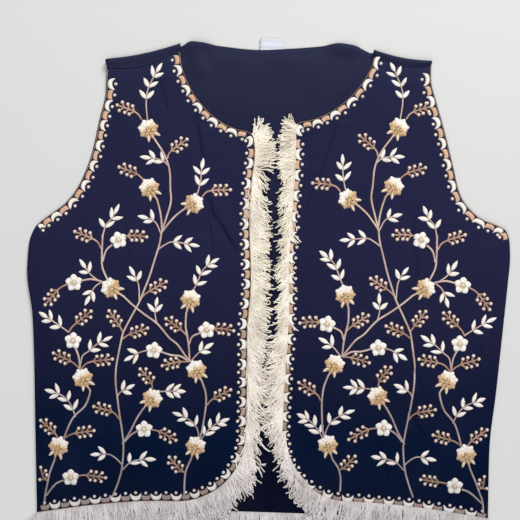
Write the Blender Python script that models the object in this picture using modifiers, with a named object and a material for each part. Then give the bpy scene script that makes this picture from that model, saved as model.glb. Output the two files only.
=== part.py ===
"""An embroidered folk vest, laid flat on a table.

The back lies on the table with its inside up. The two fronts lie on it, with their rounded lower
corners and the round neckline. The back's shoulders roll over the top and meet the fronts at
forward shoulder seams. A raised embroidered border runs round each front and armhole, and a cotton
fringe hangs from the front edges and from the hem. A small bare label stands at the back neck.

Sizes are in millimetres and go to metres once, in point(). +Y runs from the hem to the neck, +X to
the right as the vest is looked at, and +Z up from the table. Heights are above the back's hem, and
the outlines of both fronts are worked out on the right, with x as the distance from the middle.
"""

import math

import bmesh
import bpy
from mathutils import Vector

MM = 0.001
ORIGIN_HEIGHT = 219.0  # the origin is the middle of the whole outline, on the table

# Cloth
WALL = 1.2
SEAM_GAP = 0.3
FRONT_REST = WALL + SEAM_GAP  # underside of a front where it lies on the back
BORDER_WALL = 0.7
BORDER_WIDTH = 7.0
LABEL_WALL = 0.8

# Outline
HEM_CORNER_RADIUS = 69.0
TOP_CORNER_RADIUS = 11.0
TOP_CORNER_TURN = 72.0
NECK_HEIGHT = 461.0
NECK_HALF_WIDTH = 97.0
NECK_FOLD_HEIGHT = 468.0
UNDERARM_HEIGHT = 291.0
BACK_SHOWS = 1.2  # the back's armhole edge, seen past the front's

# Side seam and armhole: distance from the centre line at each height
SIDE_SECTIONS = (
    # height, left, right
    (-5.0, 225.0, 227.0),
    (70.0, 229.0, 226.0),
    (130.0, 232.0, 231.0),
    (190.0, 236.0, 235.5),
    (238.0, 243.0, 239.0),
    (262.0, 242.0, 240.5),
    (279.0, 236.5, 239.5),
    (291.0, 223.5, 236.0),
    (304.0, 206.5, 206.5),
    (325.0, 192.0, 188.0),
    (356.0, 181.0, 179.0),
    (390.0, 174.5, 169.5),
    (420.0, 169.0, 160.0),
    (440.0, 169.0, 154.5),
    (460.0, 171.0, 154.0),
)

# How each front lies. An edge has a row for each height, with its distance from the centre line.
FRONTS = {
    "left": {
        "sign": -1.0,
        "edge": (
            (85.0, 18.0),
            (140.0, 19.0),
            (185.0, 20.4),
            (225.0, 18.2),
            (300.0, 22.0),
            (330.0, 21.0),
            (360.0, 18.7),
            (383.0, 20.0),
        ),
        "corner_height": 9.3,
        "side_hem": -6.5,
        "neck_bow": 1.75,  # 2 makes the neckline a quarter of an ellipse, 1 a straight line
        "seam_tip": 440.0,
        "seam_sag": 7.0,
        "fold_tip": 450.0,
    },
    "right": {
        "sign": 1.0,
        "edge": (
            (85.0, 16.0),
            (150.0, 17.3),
            (200.0, 18.7),
            (250.0, 17.3),
            (300.0, 18.9),
            (350.0, 20.6),
            (394.5, 20.0),
        ),
        "corner_height": 13.0,
        "side_hem": 0.5,
        "neck_bow": 1.6,
        "seam_tip": 453.0,
        "seam_sag": 5.5,
        "fold_tip": 459.0,
    },
}

# Shoulders
FOLD_SAG = 2.5
FOLD_RADIUS = 2.2  # of the middle of the cloth, where the shoulder rolls over
SEAM_REST = 2.6  # underside of the cloth at the shoulder seam
SHOULDER_RISE_LENGTH = 45.0

# Back neckline between the shoulders
BACK_NECK = (
    # x, height
    (-97.0, 465.0),
    (-85.0, 470.0),
    (-62.0, 467.5),
    (-21.0, 464.5),
    (10.0, 466.5),
    (43.0, 470.0),
    (62.0, 473.0),
    (78.0, 471.0),
    (97.0, 463.5),
)

# Soft folds in the fronts, each a ridge from one end to the other
FOLDS = (
    # front, x and height of one end, x and height of the other, half width, lift
    ("left", -205.0, 60.0, -214.0, 225.0, 15.0, 1.3),
    ("left", -182.0, 250.0, -176.0, 335.0, 16.0, 1.5),
    ("left", -70.0, 330.0, -30.0, 262.0, 15.0, 1.5),
    ("left", -84.0, 300.0, -72.0, 395.0, 14.0, 1.2),
    ("left", -140.0, 340.0, -152.0, 425.0, 15.0, 1.3),
    ("left", -140.0, 30.0, -128.0, 150.0, 20.0, 0.9),
    ("left", -60.0, 60.0, -52.0, 170.0, 18.0, 0.8),
    ("right", 74.0, 400.0, 32.0, 292.0, 13.0, 1.8),
    ("right", 112.0, 420.0, 118.0, 340.0, 15.0, 1.3),
    ("right", 148.0, 190.0, 152.0, 305.0, 16.0, 1.6),
    ("right", 180.0, 235.0, 176.0, 330.0, 14.0, 1.2),
    ("right", 205.0, 40.0, 214.0, 215.0, 14.0, 1.7),
    ("right", 158.0, 60.0, 166.0, 175.0, 16.0, 1.2),
    ("right", 110.0, 30.0, 120.0, 120.0, 18.0, 0.9),
    ("right", 58.0, 90.0, 50.0, 220.0, 18.0, 0.8),
)
FOLD_END_SHARE = 0.3  # of a fold's length that it takes to rise at each end
PUFF = 1.5  # how far the middle of a front stands off the back
PUFF_WIDTH = 38.0
SIDE_ROLL = 1.4
SIDE_ROLL_WIDTH = 12.0
SIDE_ROLL_END = 250.0
MOST_LIFT = 3.5  # the layers stay less than 4 mm apart

# Fringe: a narrow strip beside the cloth's edge, with locks of yarn rooted in it
STRIP_WIDTH = 2.4
STRIP_WALL = 1.0
LOCK_PITCH = 7.0
LOCK_STAGES = (
    # share of the length, width, thickness
    (0.45, 0.80, 0.9),
    (1.0, 0.45, 0.6),
)
LOCK_UNEVEN = 0.05
LOCK_BEAT = 3.7  # radians from one lock's length to the next, so that they seem uneven
OUTER_SIDE = 2  # of the strip's four
CLUMP_LENGTH = 46.0
CLUMP_SWING = 4.0
SHARP_TURN = 2.0  # degrees: at a sharper turn of the edge, the strip turns with it
BACK_FRINGE_REST = 0.1

# Each fringe's length, where its tips lie, how far its locks arch, and which way they point: for each
# height along the edge, the degrees below level.
FRINGES = {
    "opening_left": {
        "length": 22.0,
        "tip": 2.8,
        "arch": 0.2,
        "droop": ((85.0, 62.0), (150.0, 35.0), (350.0, 33.0), (385.0, -35.0)),
    },
    "opening_right": {
        "length": 23.0,
        "tip": 1.5,
        "arch": 0.1,
        "droop": ((85.0, 76.0), (150.0, 60.0), (350.0, 52.0), (390.0, 5.0)),
    },
    "hem_left": {
        "length": 28.0,
        "tip": 1.5,
        "arch": 0.8,
        "droop": ((11.0, 84.0), (50.0, 66.0), (85.0, 64.0)),
    },
    "hem_right": {
        "length": 28.0,
        "tip": 1.5,
        "arch": 0.8,
        "droop": ((16.0, 88.0), (50.0, 78.0), (85.0, 78.0)),
    },
    "hem_back": {"length": 28.0, "tip": BACK_FRINGE_REST, "arch": 0.0},
}
HEM_SPREAD = 8.0  # degrees that the outermost locks of a hem lean outwards

# Label at the back neck, stitched on by its lower edge
LABEL_CENTRE = -5.5
LABEL_WIDTH = 23.0
LABEL_SECTIONS = (
    # distance past the back's edge, height of the underside
    (-3.0, 1.5),
    (0.5, 1.5),
    (3.5, 1.1),
    (7.0, 0.5),
    (11.0, 0.9),
)

# Meshing
ROWS = 34
FRONT_COLUMNS = 14
TURN_COST = 10.0  # millimetres of an edge that one radian of turn counts for
FINE_STEPS = 48
BACK_HEM_STEPS = 24
SHOULDER_COLUMNS = 4
NECK_COLUMNS = 12
ROLL_ROWS = 5
FLAP_ROWS = 2

NAVY = (0.014, 0.018, 0.052)
CREAM = (0.80, 0.72, 0.60)
TAN = (0.55, 0.36, 0.24)
WHITE = (0.82, 0.83, 0.86)


# Small geometry helpers ---------------------------------------------------------------------


def point(x, height, z):
    """A place on the vest, in metres in the part's frame."""
    return Vector((x * MM, (height - ORIGIN_HEIGHT) * MM, z * MM))


def ease(t):
    """0 to 1 with level ends."""
    t = min(max(t, 0.0), 1.0)
    return t * t * (3.0 - 2.0 * t)


def through(table, at):
    """A smooth value at a place, through rows of (place, value) that never overshoots them."""
    last = len(table) - 1
    at = min(max(at, table[0][0]), table[last][0])
    i = max(k for k in range(last) if table[k][0] <= at)
    slopes = [(b[1] - a[1]) / (b[0] - a[0]) for a, b in zip(table, table[1:])]

    def tangent(k):
        if k in (0, last):
            return slopes[min(k, last - 1)]
        before, after = slopes[k - 1], slopes[k]
        return 0.0 if before * after <= 0.0 else 2.0 * before * after / (before + after)

    width = table[i + 1][0] - table[i][0]
    t = (at - table[i][0]) / width
    return (
        (1 + 2 * t) * (1 - t) ** 2 * table[i][1]
        + t * (1 - t) ** 2 * width * tangent(i)
        + t * t * (3 - 2 * t) * table[i + 1][1]
        + t * t * (t - 1) * width * tangent(i + 1)
    )


def distance_to_line(place, start, end):
    """How far a place is from a straight line, and how far along it, from 0 to 1."""
    along = end - start
    away = place - start
    t = min(max(away.dot(along) / along.length_squared, 0.0), 1.0)
    return (away - along * t).length, t


def even_steps(path, steps):
    """The same path in fewer straight steps, shorter where it turns."""
    costs = [0.0]
    for k in range(1, len(path)):
        cost = (path[k] - path[k - 1]).length
        if k > 1:
            cost += TURN_COST * (path[k] - path[k - 1]).angle(path[k - 1] - path[k - 2])
        costs.append(costs[-1] + cost)
    found = []
    for n in range(steps + 1):
        at = costs[-1] * n / steps
        k = min(sum(cost <= at for cost in costs), len(path) - 1)
        found.append(path[k - 1].lerp(path[k], (at - costs[k - 1]) / (costs[k] - costs[k - 1])))
    return found


def offset_corner(before, place, after, distance):
    """A corner of an anticlockwise outline, moved inwards by the same distance from both its sides."""
    first, second = (place - before).normalized(), (after - place).normalized()
    normal = Vector((-first.y - second.y, first.x + second.x)).normalized()
    return place + normal * distance / normal.dot(Vector((-first.y, first.x)))


def inset_edges(edges, distance):
    """The edges of an anticlockwise outline, moved inwards and cut where they meet or turn back."""
    moved = []
    for k, edge in enumerate(edges):
        before, after = edges[k - 1], edges[(k + 1) % len(edges)]
        start = offset_corner(before[-2], edge[0], edge[1], distance)
        end = offset_corner(edge[-2], edge[-1], after[1], distance)
        path = [start]
        for i in range(1, len(edge) - 1):
            place = offset_corner(edge[i - 1], edge[i], edge[i + 1], distance)
            clear = min((place - other).length for other in before + after) > distance
            if clear and (place - path[-1]).dot(edge[i + 1] - edge[i]) > 0.0:
                path.append(place)
        moved.append(path + [end])
    return moved


def patch(left, right, bottom, top):
    """Rows of places that fill four edges. left and right run up, bottom and top from left to right."""
    rows, columns = len(left) - 1, len(bottom) - 1
    grid = []
    for j in range(rows + 1):
        v = j / rows
        row = []
        for i in range(columns + 1):
            u = i / columns
            sides = left[j] * (1 - u) + right[j] * u
            ends = bottom[i] * (1 - v) + top[i] * v
            low, high = left[0] * (1 - u) + right[0] * u, left[-1] * (1 - u) + right[-1] * u
            row.append(sides + ends - low * (1 - v) - high * v)
        grid.append(row)
    return grid


# Outline ------------------------------------------------------------------------------------


def side_x(side, height):
    """Distance of a side seam or armhole from the centre line."""
    column = 1 if side == "left" else 2
    return through([(row[0], row[column]) for row in SIDE_SECTIONS], height)


def side_edge(side):
    """The side seam and armhole, from the hem to the shoulder seam."""
    low, high = FRONTS[side]["side_hem"], FRONTS[side]["seam_tip"]
    heights = [low + (high - low) * k / (2 * FINE_STEPS) for k in range(2 * FINE_STEPS + 1)]
    return [Vector((side_x(side, height), height)) for height in heights]


def arc(centre, radius, start, end):
    """Places on an arc, from one angle to another in degrees."""
    angles = [math.radians(start + (end - start) * k / FINE_STEPS) for k in range(FINE_STEPS + 1)]
    return [Vector((centre[0] + radius * math.cos(a), centre[1] + radius * math.sin(a))) for a in angles]


def opening_edge(side):
    """The front's free edge from the hem, round the lower corner, up the opening and the neckline."""
    lay = FRONTS[side]
    foot, head = lay["edge"][0], lay["edge"][-1]
    corner = (foot[1] + HEM_CORNER_RADIUS, lay["corner_height"] + HEM_CORNER_RADIUS)
    path = arc(corner, HEM_CORNER_RADIUS, 270, 180)
    top = head[0] - TOP_CORNER_RADIUS
    for k in range(1, FINE_STEPS):
        height = corner[1] + (top - corner[1]) * k / FINE_STEPS
        path.append(Vector((through(lay["edge"], height), height)))
    path += arc((head[1] + TOP_CORNER_RADIUS, top), TOP_CORNER_RADIUS, 180, 180 - TOP_CORNER_TURN)
    start, end = path[-1], Vector((NECK_HALF_WIDTH, NECK_HEIGHT))
    for k in range(1, FINE_STEPS + 1):
        turn = math.pi / 2 * k / FINE_STEPS
        across = math.sin(turn) ** (2 / lay["neck_bow"])
        down = max(math.cos(turn), 0.0) ** (2 / lay["neck_bow"])
        path.append(Vector((start.x + (end.x - start.x) * across, end.y + (start.y - end.y) * down)))
    return path


def hem_edge(side):
    """The front's hem, from the side seam to the lower corner."""
    lay = FRONTS[side]
    outer, inner = side_x(side, lay["side_hem"]), lay["edge"][0][1] + HEM_CORNER_RADIUS
    path = []
    for k in range(FINE_STEPS + 1):
        share = k / FINE_STEPS
        rise = (lay["corner_height"] - lay["side_hem"]) * math.sin(math.pi / 2 * share)
        path.append(Vector((outer + (inner - outer) * share, lay["side_hem"] + rise)))
    return path


def shoulder_seam(side, share):
    """A place on the shoulder seam, from the armhole at 0 to the neck at 1."""
    lay = FRONTS[side]
    outer = side_x(side, lay["seam_tip"])
    height = lay["seam_tip"] + (NECK_HEIGHT - lay["seam_tip"]) * share
    sag = lay["seam_sag"] * math.sin(math.pi * share)
    return Vector((outer + (NECK_HALF_WIDTH - outer) * share, height - sag))


def front_edges(side):
    """The four edges of a front, anticlockwise: side and armhole, shoulder, opening and hem."""
    shoulder = [shoulder_seam(side, k / FINE_STEPS) for k in range(FINE_STEPS + 1)]
    return [side_edge(side), shoulder, opening_edge(side)[::-1], hem_edge(side)[::-1]]


def in_steps(edges):
    """A front's four edges in as many steps as its mesh has."""
    return [even_steps(edge, steps) for edge, steps in zip(edges, (ROWS, FRONT_COLUMNS) * 2)]


# How the fronts lie -------------------------------------------------------------------------


def front_underside(side, x, height):
    """How high the underside of a front is over the table. x is signed."""
    lay = FRONTS[side]
    across = abs(x)
    from_side = side_x(side, height) - across
    if height < lay["edge"][-1][0]:
        from_opening = across - through(lay["edge"], height)
    else:
        depth = NECK_HEIGHT - lay["edge"][-1][0]
        from_opening = Vector((across - lay["edge"][-1][1], NECK_HEIGHT - height)).length - depth
    from_hem = height - lay["corner_height"]
    lift = PUFF * ease(min(from_side, from_opening, from_hem) / PUFF_WIDTH)
    roll = ease(from_side / SIDE_ROLL_WIDTH) * ease(min(from_opening, from_hem) / PUFF_WIDTH)
    lift += SIDE_ROLL * roll * (1.0 - ease((height - SIDE_ROLL_END) / PUFF_WIDTH))
    for front, x0, h0, x1, h1, half_width, fold_lift in FOLDS:
        if front == side:
            away, along = distance_to_line(Vector((x, height)), Vector((x0, h0)), Vector((x1, h1)))
            ends = ease(min(along, 1.0 - along) / FOLD_END_SHARE)
            lift += fold_lift * ends * (1.0 - ease(away / half_width))
    lift = MOST_LIFT * math.tanh(max(lift, 0.0) / MOST_LIFT)
    seam_height = shoulder_seam(side, 0.5).y
    near_seam = ease(1.0 - (seam_height - height) / SHOULDER_RISE_LENGTH)
    return (FRONT_REST + lift) * (1.0 - near_seam) + SEAM_REST * near_seam


# Making objects -----------------------------------------------------------------------------


def finish(name, mesh, colour, roughness, wall=0.0, offset=1.0):
    """Puts a mesh in the vest's collection, with its colour and, for a sheet, its wall."""
    material = bpy.data.materials.new(name + "_cloth")
    material.use_nodes = True
    shader = material.node_tree.nodes["Principled BSDF"]
    shader.inputs["Base Color"].default_value = (*colour, 1.0)
    shader.inputs["Roughness"].default_value = roughness
    shader.inputs["Metallic"].default_value = 0.0
    mesh.materials.append(material)
    piece = bpy.data.objects.new(name, mesh)
    vest.objects.link(piece)
    if wall:
        thickness = piece.modifiers.new("wall", "SOLIDIFY")
        thickness.thickness = wall * MM
        thickness.offset = offset
        thickness.use_even_offset = False
    mesh.shade_smooth()
    mesh.set_sharp_from_angle(angle=math.radians(35))


def sheet(name, places, faces):
    """An open mesh whose faces all look up."""
    mesh = bpy.data.meshes.new(name)
    mesh.from_pydata(places, [], faces)
    mesh.update()
    if mesh.polygons[0].normal.z < 0.0:
        mesh.flip_normals()
    return mesh


def front(side):
    """One front panel, and the borders that are worked on its edges."""
    sign = FRONTS[side]["sign"]
    edges = front_edges(side)
    ring = [place for edge in in_steps(edges) for place in edge[:-1]]
    outer, top, inner, bottom = in_steps(inset_edges(edges, BORDER_WIDTH))
    grid = patch(outer, inner[::-1], bottom[::-1], top)
    count, wide = len(ring), FRONT_COLUMNS + 1
    flat = ring + [place for row in grid for place in row]
    places = [point(sign * p.x, p.y, front_underside(side, sign * p.x, p.y)) for p in flat]

    # The grid's own edge, in the order of the ring
    edge = [count + j * wide for j in range(ROWS)]
    edge += [count + ROWS * wide + i for i in range(FRONT_COLUMNS)]
    edge += [count + j * wide + FRONT_COLUMNS for j in range(ROWS, 0, -1)]
    edge += [count + i for i in range(FRONT_COLUMNS, 0, -1)]
    margin = [(k, edge[k], edge[(k + 1) % count], (k + 1) % count) for k in range(count)]
    cells = [count + j * wide + i for j in range(ROWS) for i in range(FRONT_COLUMNS)]
    inside = [(k, k + 1, k + wide + 1, k + wide) for k in cells]
    mesh = sheet("front_" + side, places, margin + inside)
    normals = [vertex.normal.copy() for vertex in mesh.vertices]
    finish("front_" + side, mesh, NAVY, 0.75, WALL)

    underarm = min(k for k in range(ROWS) if ring[k].y > UNDERARM_HEIGHT)
    borders = {"border_front_": range(ROWS + FRONT_COLUMNS, count), "border_armhole_": range(underarm, ROWS)}
    for name, span in borders.items():
        used = sorted({corner for k in span for corner in margin[k]})
        raised = [places[corner] + normals[corner] * (WALL + SEAM_GAP) * MM for corner in used]
        faces = [tuple(used.index(corner) for corner in margin[k]) for k in span]
        finish(name + side, sheet(name + side, raised, faces), TAN, 0.6, BORDER_WALL)


def fold_centre(side, share):
    """Centre of the rolled shoulder edge, from the armhole at 0 to the neck at 1."""
    tip = FRONTS[side]["fold_tip"]
    outer = side_x(side, tip) + BACK_SHOWS
    height = tip + (NECK_FOLD_HEIGHT - tip) * share - FOLD_SAG * math.sin(math.pi * share)
    return Vector((outer + (NECK_HALF_WIDTH - outer) * share, height - FOLD_RADIUS - WALL / 2))


def mirrored(side, place):
    """A place worked out on the right, on its own side."""
    return Vector((FRONTS[side]["sign"] * place.x, place.y))


def back_hem_height(x):
    """Height of the back's hem, level in the middle and lower at the sides."""
    side = "left" if x < 0.0 else "right"
    return FRONTS[side]["side_hem"] * ease((abs(x) - 60.0) / 160.0)


def back_side(side):
    """The back's side seam and armhole, which shows a little past the front's."""
    path = []
    for place in even_steps(side_edge(side), ROWS):
        shows = BACK_SHOWS * ease((place.y - UNDERARM_HEIGHT) / BORDER_WIDTH)
        path.append(mirrored(side, place + Vector((shows, 0.0))))
    return path


def back():
    """The back panel, flat on the table, with a flap at each shoulder that rolls over to its seam."""
    shoulder = [k / SHOULDER_COLUMNS for k in range(SHOULDER_COLUMNS + 1)]
    neck = [NECK_HALF_WIDTH * (2 * k / NECK_COLUMNS - 1) for k in range(1, NECK_COLUMNS)]
    top = [mirrored("left", fold_centre("left", share)) for share in shoulder]
    top += [Vector((x, through(BACK_NECK, x))) for x in neck]
    top += [mirrored("right", fold_centre("right", share)) for share in shoulder[::-1]]
    columns = len(top) - 1
    left, right = back_side("left") + top[:1], back_side("right") + top[-1:]
    hem = [left[0].x + (right[0].x - left[0].x) * k / columns for k in range(columns + 1)]
    grid = patch(left, right, [Vector((x, back_hem_height(x))) for x in hem], top)
    places = [point(p.x, p.y, WALL / 2) for row in grid for p in row]
    wide = columns + 1
    cells = [j * wide + i for j in range(len(grid) - 1) for i in range(columns)]
    faces = [(k, k + 1, k + wide + 1, k + wide) for k in cells]
    top_row = len(places) - wide
    right_flap = columns - SHOULDER_COLUMNS
    for side, first, shares in (("left", 0, shoulder), ("right", right_flap, shoulder[::-1])):
        below = [top_row + first + k for k in range(len(shares))]
        for step in range(1, ROLL_ROWS + FLAP_ROWS + 1):
            row = [len(places) + k for k in range(len(shares))]
            places += [shoulder_place(side, share, step) for share in shares]
            faces += [(below[k], below[k + 1], row[k + 1], row[k]) for k in range(SHOULDER_COLUMNS)]
            below = row
    mesh = bpy.data.meshes.new("back")
    mesh.from_pydata(places, [], faces)
    finish("back", mesh, NAVY, 0.75, WALL, 0.0)


def shoulder_place(side, share, step):
    """A place on the middle of the cloth that rolls over the shoulder and runs down to the seam."""
    centre = fold_centre(side, share)
    high = WALL / 2 + 2 * FOLD_RADIUS
    if step <= ROLL_ROWS:
        turn = math.pi * (step / ROLL_ROWS - 0.5)
        place = mirrored(side, centre + Vector((0.0, FOLD_RADIUS * math.cos(turn))))
        return point(place.x, place.y, WALL / 2 + FOLD_RADIUS * (1 + math.sin(turn)))
    t = (step - ROLL_ROWS) / FLAP_ROWS
    seam = shoulder_seam(side, share) + Vector((0.0, SEAM_GAP))
    place = mirrored(side, centre.lerp(seam, t))
    return point(place.x, place.y, high + (SEAM_REST + WALL / 2 - high) * ease(t))


# Fringe -------------------------------------------------------------------------------------


def lock_roots(path):
    """Where each lock starts and ends along an edge, with a break at each sharp turn of the edge."""
    turns = [0]
    for k in range(1, len(path) - 1):
        if math.degrees((path[k + 1] - path[k]).angle(path[k] - path[k - 1])) > SHARP_TURN:
            turns.append(k)
    turns.append(len(path) - 1)
    places = [path[0]]
    for start, end in zip(turns, turns[1:]):
        stretch = path[start : end + 1]
        lengths = [0.0]
        for a, b in zip(stretch, stretch[1:]):
            lengths.append(lengths[-1] + (b - a).length)
        locks = max(round(lengths[-1] / LOCK_PITCH), 1)
        for n in range(1, locks + 1):
            at = lengths[-1] * n / locks
            k = min(sum(length <= at for length in lengths), len(stretch) - 1)
            share = (at - lengths[k - 1]) / (lengths[k] - lengths[k - 1])
            places.append(stretch[k - 1].lerp(stretch[k], share))
    return places


def fringe(name, path, rest, direction):
    """A strip along an edge, with a lock of yarn drawn out of its outer side at each step.

    path runs with the cloth on its left. rest gives the underside of the strip at a place, and
    direction gives the angle of a lock, in degrees, from its place and its distance along the path.
    """
    make = FRINGES[name]
    roots = lock_roots(path)
    yarn = bmesh.new()
    rings = []
    for k, place in enumerate(roots):
        before, after = roots[max(k - 1, 0)], roots[min(k + 1, len(roots) - 1)]
        first = (place - before).normalized() if k else (after - place).normalized()
        second = (after - place).normalized() if k < len(roots) - 1 else first
        out = Vector((first.y + second.y, -first.x - second.x)).normalized()
        out /= out.dot(Vector((first.y, -first.x)))
        near, far = place + out * SEAM_GAP, place + out * (SEAM_GAP + STRIP_WIDTH)
        low = rest(place.x, place.y)
        corners = ((near, low), (far, low), (far, low + STRIP_WALL), (near, low + STRIP_WALL))
        rings.append([yarn.verts.new(point(p.x, p.y, z)) for p, z in corners])
    yarn.faces.new(rings[0][::-1])
    yarn.faces.new(rings[-1])
    at = 0.0
    for k in range(len(rings) - 1):
        ring, beyond = rings[k], rings[k + 1]
        sides = [yarn.faces.new((ring[n - 1], ring[n], beyond[n], beyond[n - 1])) for n in range(4)]
        at += (roots[k + 1] - roots[k]).length
        length = make["length"] * (1 + LOCK_UNEVEN * math.sin(LOCK_BEAT * k))
        grow_lock(yarn, sides[OUTER_SIDE], direction((roots[k] + roots[k + 1]) / 2, at), length, make)
    bmesh.ops.recalc_face_normals(yarn, faces=yarn.faces)
    mesh = bpy.data.meshes.new(name)
    yarn.to_mesh(mesh)
    yarn.free()
    finish("fringe_" + name, mesh, CREAM, 0.85)


def grow_lock(yarn, root, angle, length, make):
    """One four-sided lock, drawn out of a face of the strip in stages."""
    run = Vector((math.cos(math.radians(angle)), math.sin(math.radians(angle)), 0.0)) * length * MM
    starts = [vertex.co.copy() for vertex in root.verts]
    centre = sum(starts, Vector()) / len(starts)
    drop = (make["tip"] + LOCK_STAGES[-1][2] * STRIP_WALL / 2) * MM - centre.z
    for share, width, thickness in LOCK_STAGES:
        root = bmesh.ops.extrude_discrete_faces(yarn, faces=[root])["faces"][0]
        lift = drop * share + make["arch"] * MM * 4 * share * (1 - share)
        for vertex, start in zip(root.verts, starts):
            away = (start - centre) * Vector((width, width, thickness))
            vertex.co = centre + run * share + away + Vector((0.0, 0.0, lift))


def clump(at):
    """How far the locks lean together at a place along a fringe, in degrees."""
    return CLUMP_SWING * math.sin(2 * math.pi * at / CLUMP_LENGTH)


def front_fringes(side):
    """The fringe along a front's opening, and the one round its corner and along its hem."""
    lay = FRONTS[side]
    sign = lay["sign"]
    opening = even_steps(opening_edge(side), ROWS)
    corner_end = min(k for k in range(ROWS) if opening[k].y > lay["corner_height"] + HEM_CORNER_RADIUS)
    neck_start = min(k for k in range(ROWS) if opening[k].y > lay["edge"][-1][0] - TOP_CORNER_RADIUS / 2)
    straight = opening[corner_end : neck_start + 1]
    round_hem = even_steps(hem_edge(side), FRONT_COLUMNS)[:-1] + opening[: corner_end + 1]
    last = round_hem[-1] - round_hem[-2]
    round_hem[-1] -= last * (2 * SEAM_GAP / last.length)

    def rest(x, height):
        return front_underside(side, x, height)

    def pointing(name):
        def direction(place, at):
            droop = through(FRINGES[name]["droop"], place.y) + clump(at)
            lean = HEM_SPREAD * ease((abs(place.x) - 150.0) / 75.0)
            return -90.0 - sign * (90.0 - droop) + sign * lean

        return direction

    for name, path in (("opening_" + side, straight), ("hem_" + side, round_hem)):
        path = [mirrored(side, place) for place in path]
        if sign > 0.0:
            path = path[::-1]
        fringe(name, path, rest, pointing(name))


def back_fringe():
    """The fringe along the back's hem, lying on the table."""
    left, right = (FRONTS[side]["sign"] * side_x(side, FRONTS[side]["side_hem"]) for side in FRONTS)
    xs = [left + (right - left) * k / BACK_HEM_STEPS for k in range(BACK_HEM_STEPS + 1)]

    def rest(x, height):
        return BACK_FRINGE_REST

    def direction(place, at):
        return -90.0 + clump(at) + HEM_SPREAD * place.x / right

    fringe("hem_back", [Vector((x, back_hem_height(x))) for x in xs], rest, direction)


def label():
    """A small bare label, stitched to the inside of the back neck and turned up over its edge."""
    places, faces = [], []
    for past, underside in LABEL_SECTIONS:
        for x in (LABEL_CENTRE - LABEL_WIDTH / 2, LABEL_CENTRE, LABEL_CENTRE + LABEL_WIDTH / 2):
            places.append(point(x, through(BACK_NECK, LABEL_CENTRE) + past, underside))
    for j in range(len(LABEL_SECTIONS) - 1):
        faces += [(k, k + 1, k + 4, k + 3) for k in (3 * j, 3 * j + 1)]
    finish("label", sheet("label", places, faces), WHITE, 0.5, LABEL_WALL)


for leftover in list(bpy.data.objects):
    bpy.data.objects.remove(leftover)
vest = bpy.data.collections.new("embroidered_folk_vest")
bpy.context.scene.collection.children.link(vest)
back()
for half in FRONTS:
    front(half)
    front_fringes(half)
back_fringe()
label()
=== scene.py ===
"""An embroidered folk vest, laid flat on a pale table.

The cloth, its embroidery, the fringe and the label are made here, each in the place of its solid.
Sizes are in millimetres and go to metres in spot(). Heights are above the back's hem, x is the
distance from the middle, to the right as the vest is looked at, and z is above the table.
"""

import math
import random

import bmesh
import bpy
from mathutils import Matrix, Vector, geometry, kdtree, noise


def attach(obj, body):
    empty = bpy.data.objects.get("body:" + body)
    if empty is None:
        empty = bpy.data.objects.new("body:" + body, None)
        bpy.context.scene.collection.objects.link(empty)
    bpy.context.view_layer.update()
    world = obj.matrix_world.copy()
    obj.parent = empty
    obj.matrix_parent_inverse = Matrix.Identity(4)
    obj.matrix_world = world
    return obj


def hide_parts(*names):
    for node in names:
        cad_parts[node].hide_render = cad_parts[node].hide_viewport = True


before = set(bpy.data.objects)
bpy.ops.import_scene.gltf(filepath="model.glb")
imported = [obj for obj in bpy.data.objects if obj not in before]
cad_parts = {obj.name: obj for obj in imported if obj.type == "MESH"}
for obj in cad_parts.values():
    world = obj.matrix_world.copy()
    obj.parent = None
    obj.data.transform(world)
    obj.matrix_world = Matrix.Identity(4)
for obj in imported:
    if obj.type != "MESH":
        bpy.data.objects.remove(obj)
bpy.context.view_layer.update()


# Back panel --------------------------------------------------------------------------------------
# One piece of navy polyester crepe. It is cut long at the shoulders, which roll over the top to
# forward shoulder seams, and it lies on the table with its inside up.

MM = 0.001
ORIGIN_HEIGHT = 219.0
CLOTH = 1.0
NECK_HEIGHT = 461.0
NECK_HALF_WIDTH = 97.0
NECK_FOLD_HEIGHT = 468.0
UNDERARM_HEIGHT = 291.0
BACK_SHOWS = 1.2  # the back's armhole edge, seen past the front's
FOLD_SAG = 2.5
FOLD_RADIUS = 2.2
SEAM_REST = 2.6
SEAM_GAP = 0.3

# Side seam and armhole: distance from the middle at each height
SIDE_SECTIONS = (
    # height, left, right
    (-5.0, 225.0, 227.0),
    (70.0, 229.0, 226.0),
    (130.0, 232.0, 231.0),
    (190.0, 236.0, 235.5),
    (238.0, 243.0, 239.0),
    (262.0, 242.0, 240.5),
    (279.0, 236.5, 239.5),
    (291.0, 223.5, 236.0),
    (304.0, 206.5, 206.5),
    (325.0, 192.0, 188.0),
    (356.0, 181.0, 179.0),
    (390.0, 174.5, 169.5),
    (420.0, 169.0, 160.0),
    (440.0, 169.0, 154.5),
    (460.0, 171.0, 154.0),
)

# How each front lies. An edge has a row for each height, with its distance from the middle.
FRONTS = {
    "left": {
        "sign": -1.0,
        "edge": (
            (85.0, 18.0),
            (140.0, 19.0),
            (185.0, 20.4),
            (225.0, 18.2),
            (300.0, 22.0),
            (330.0, 21.0),
            (360.0, 18.7),
            (383.0, 20.0),
        ),
        "corner_height": 9.3,
        "side_hem": -6.5,
        "neck_bow": 1.75,
        "seam_tip": 440.0,
        "seam_sag": 7.0,
        "fold_tip": 450.0,
    },
    "right": {
        "sign": 1.0,
        "edge": (
            (85.0, 16.0),
            (150.0, 17.3),
            (200.0, 18.7),
            (250.0, 17.3),
            (300.0, 18.9),
            (350.0, 20.6),
            (394.5, 20.0),
        ),
        "corner_height": 13.0,
        "side_hem": 0.5,
        "neck_bow": 1.6,
        "seam_tip": 453.0,
        "seam_sag": 5.5,
        "fold_tip": 459.0,
    },
}

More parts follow.
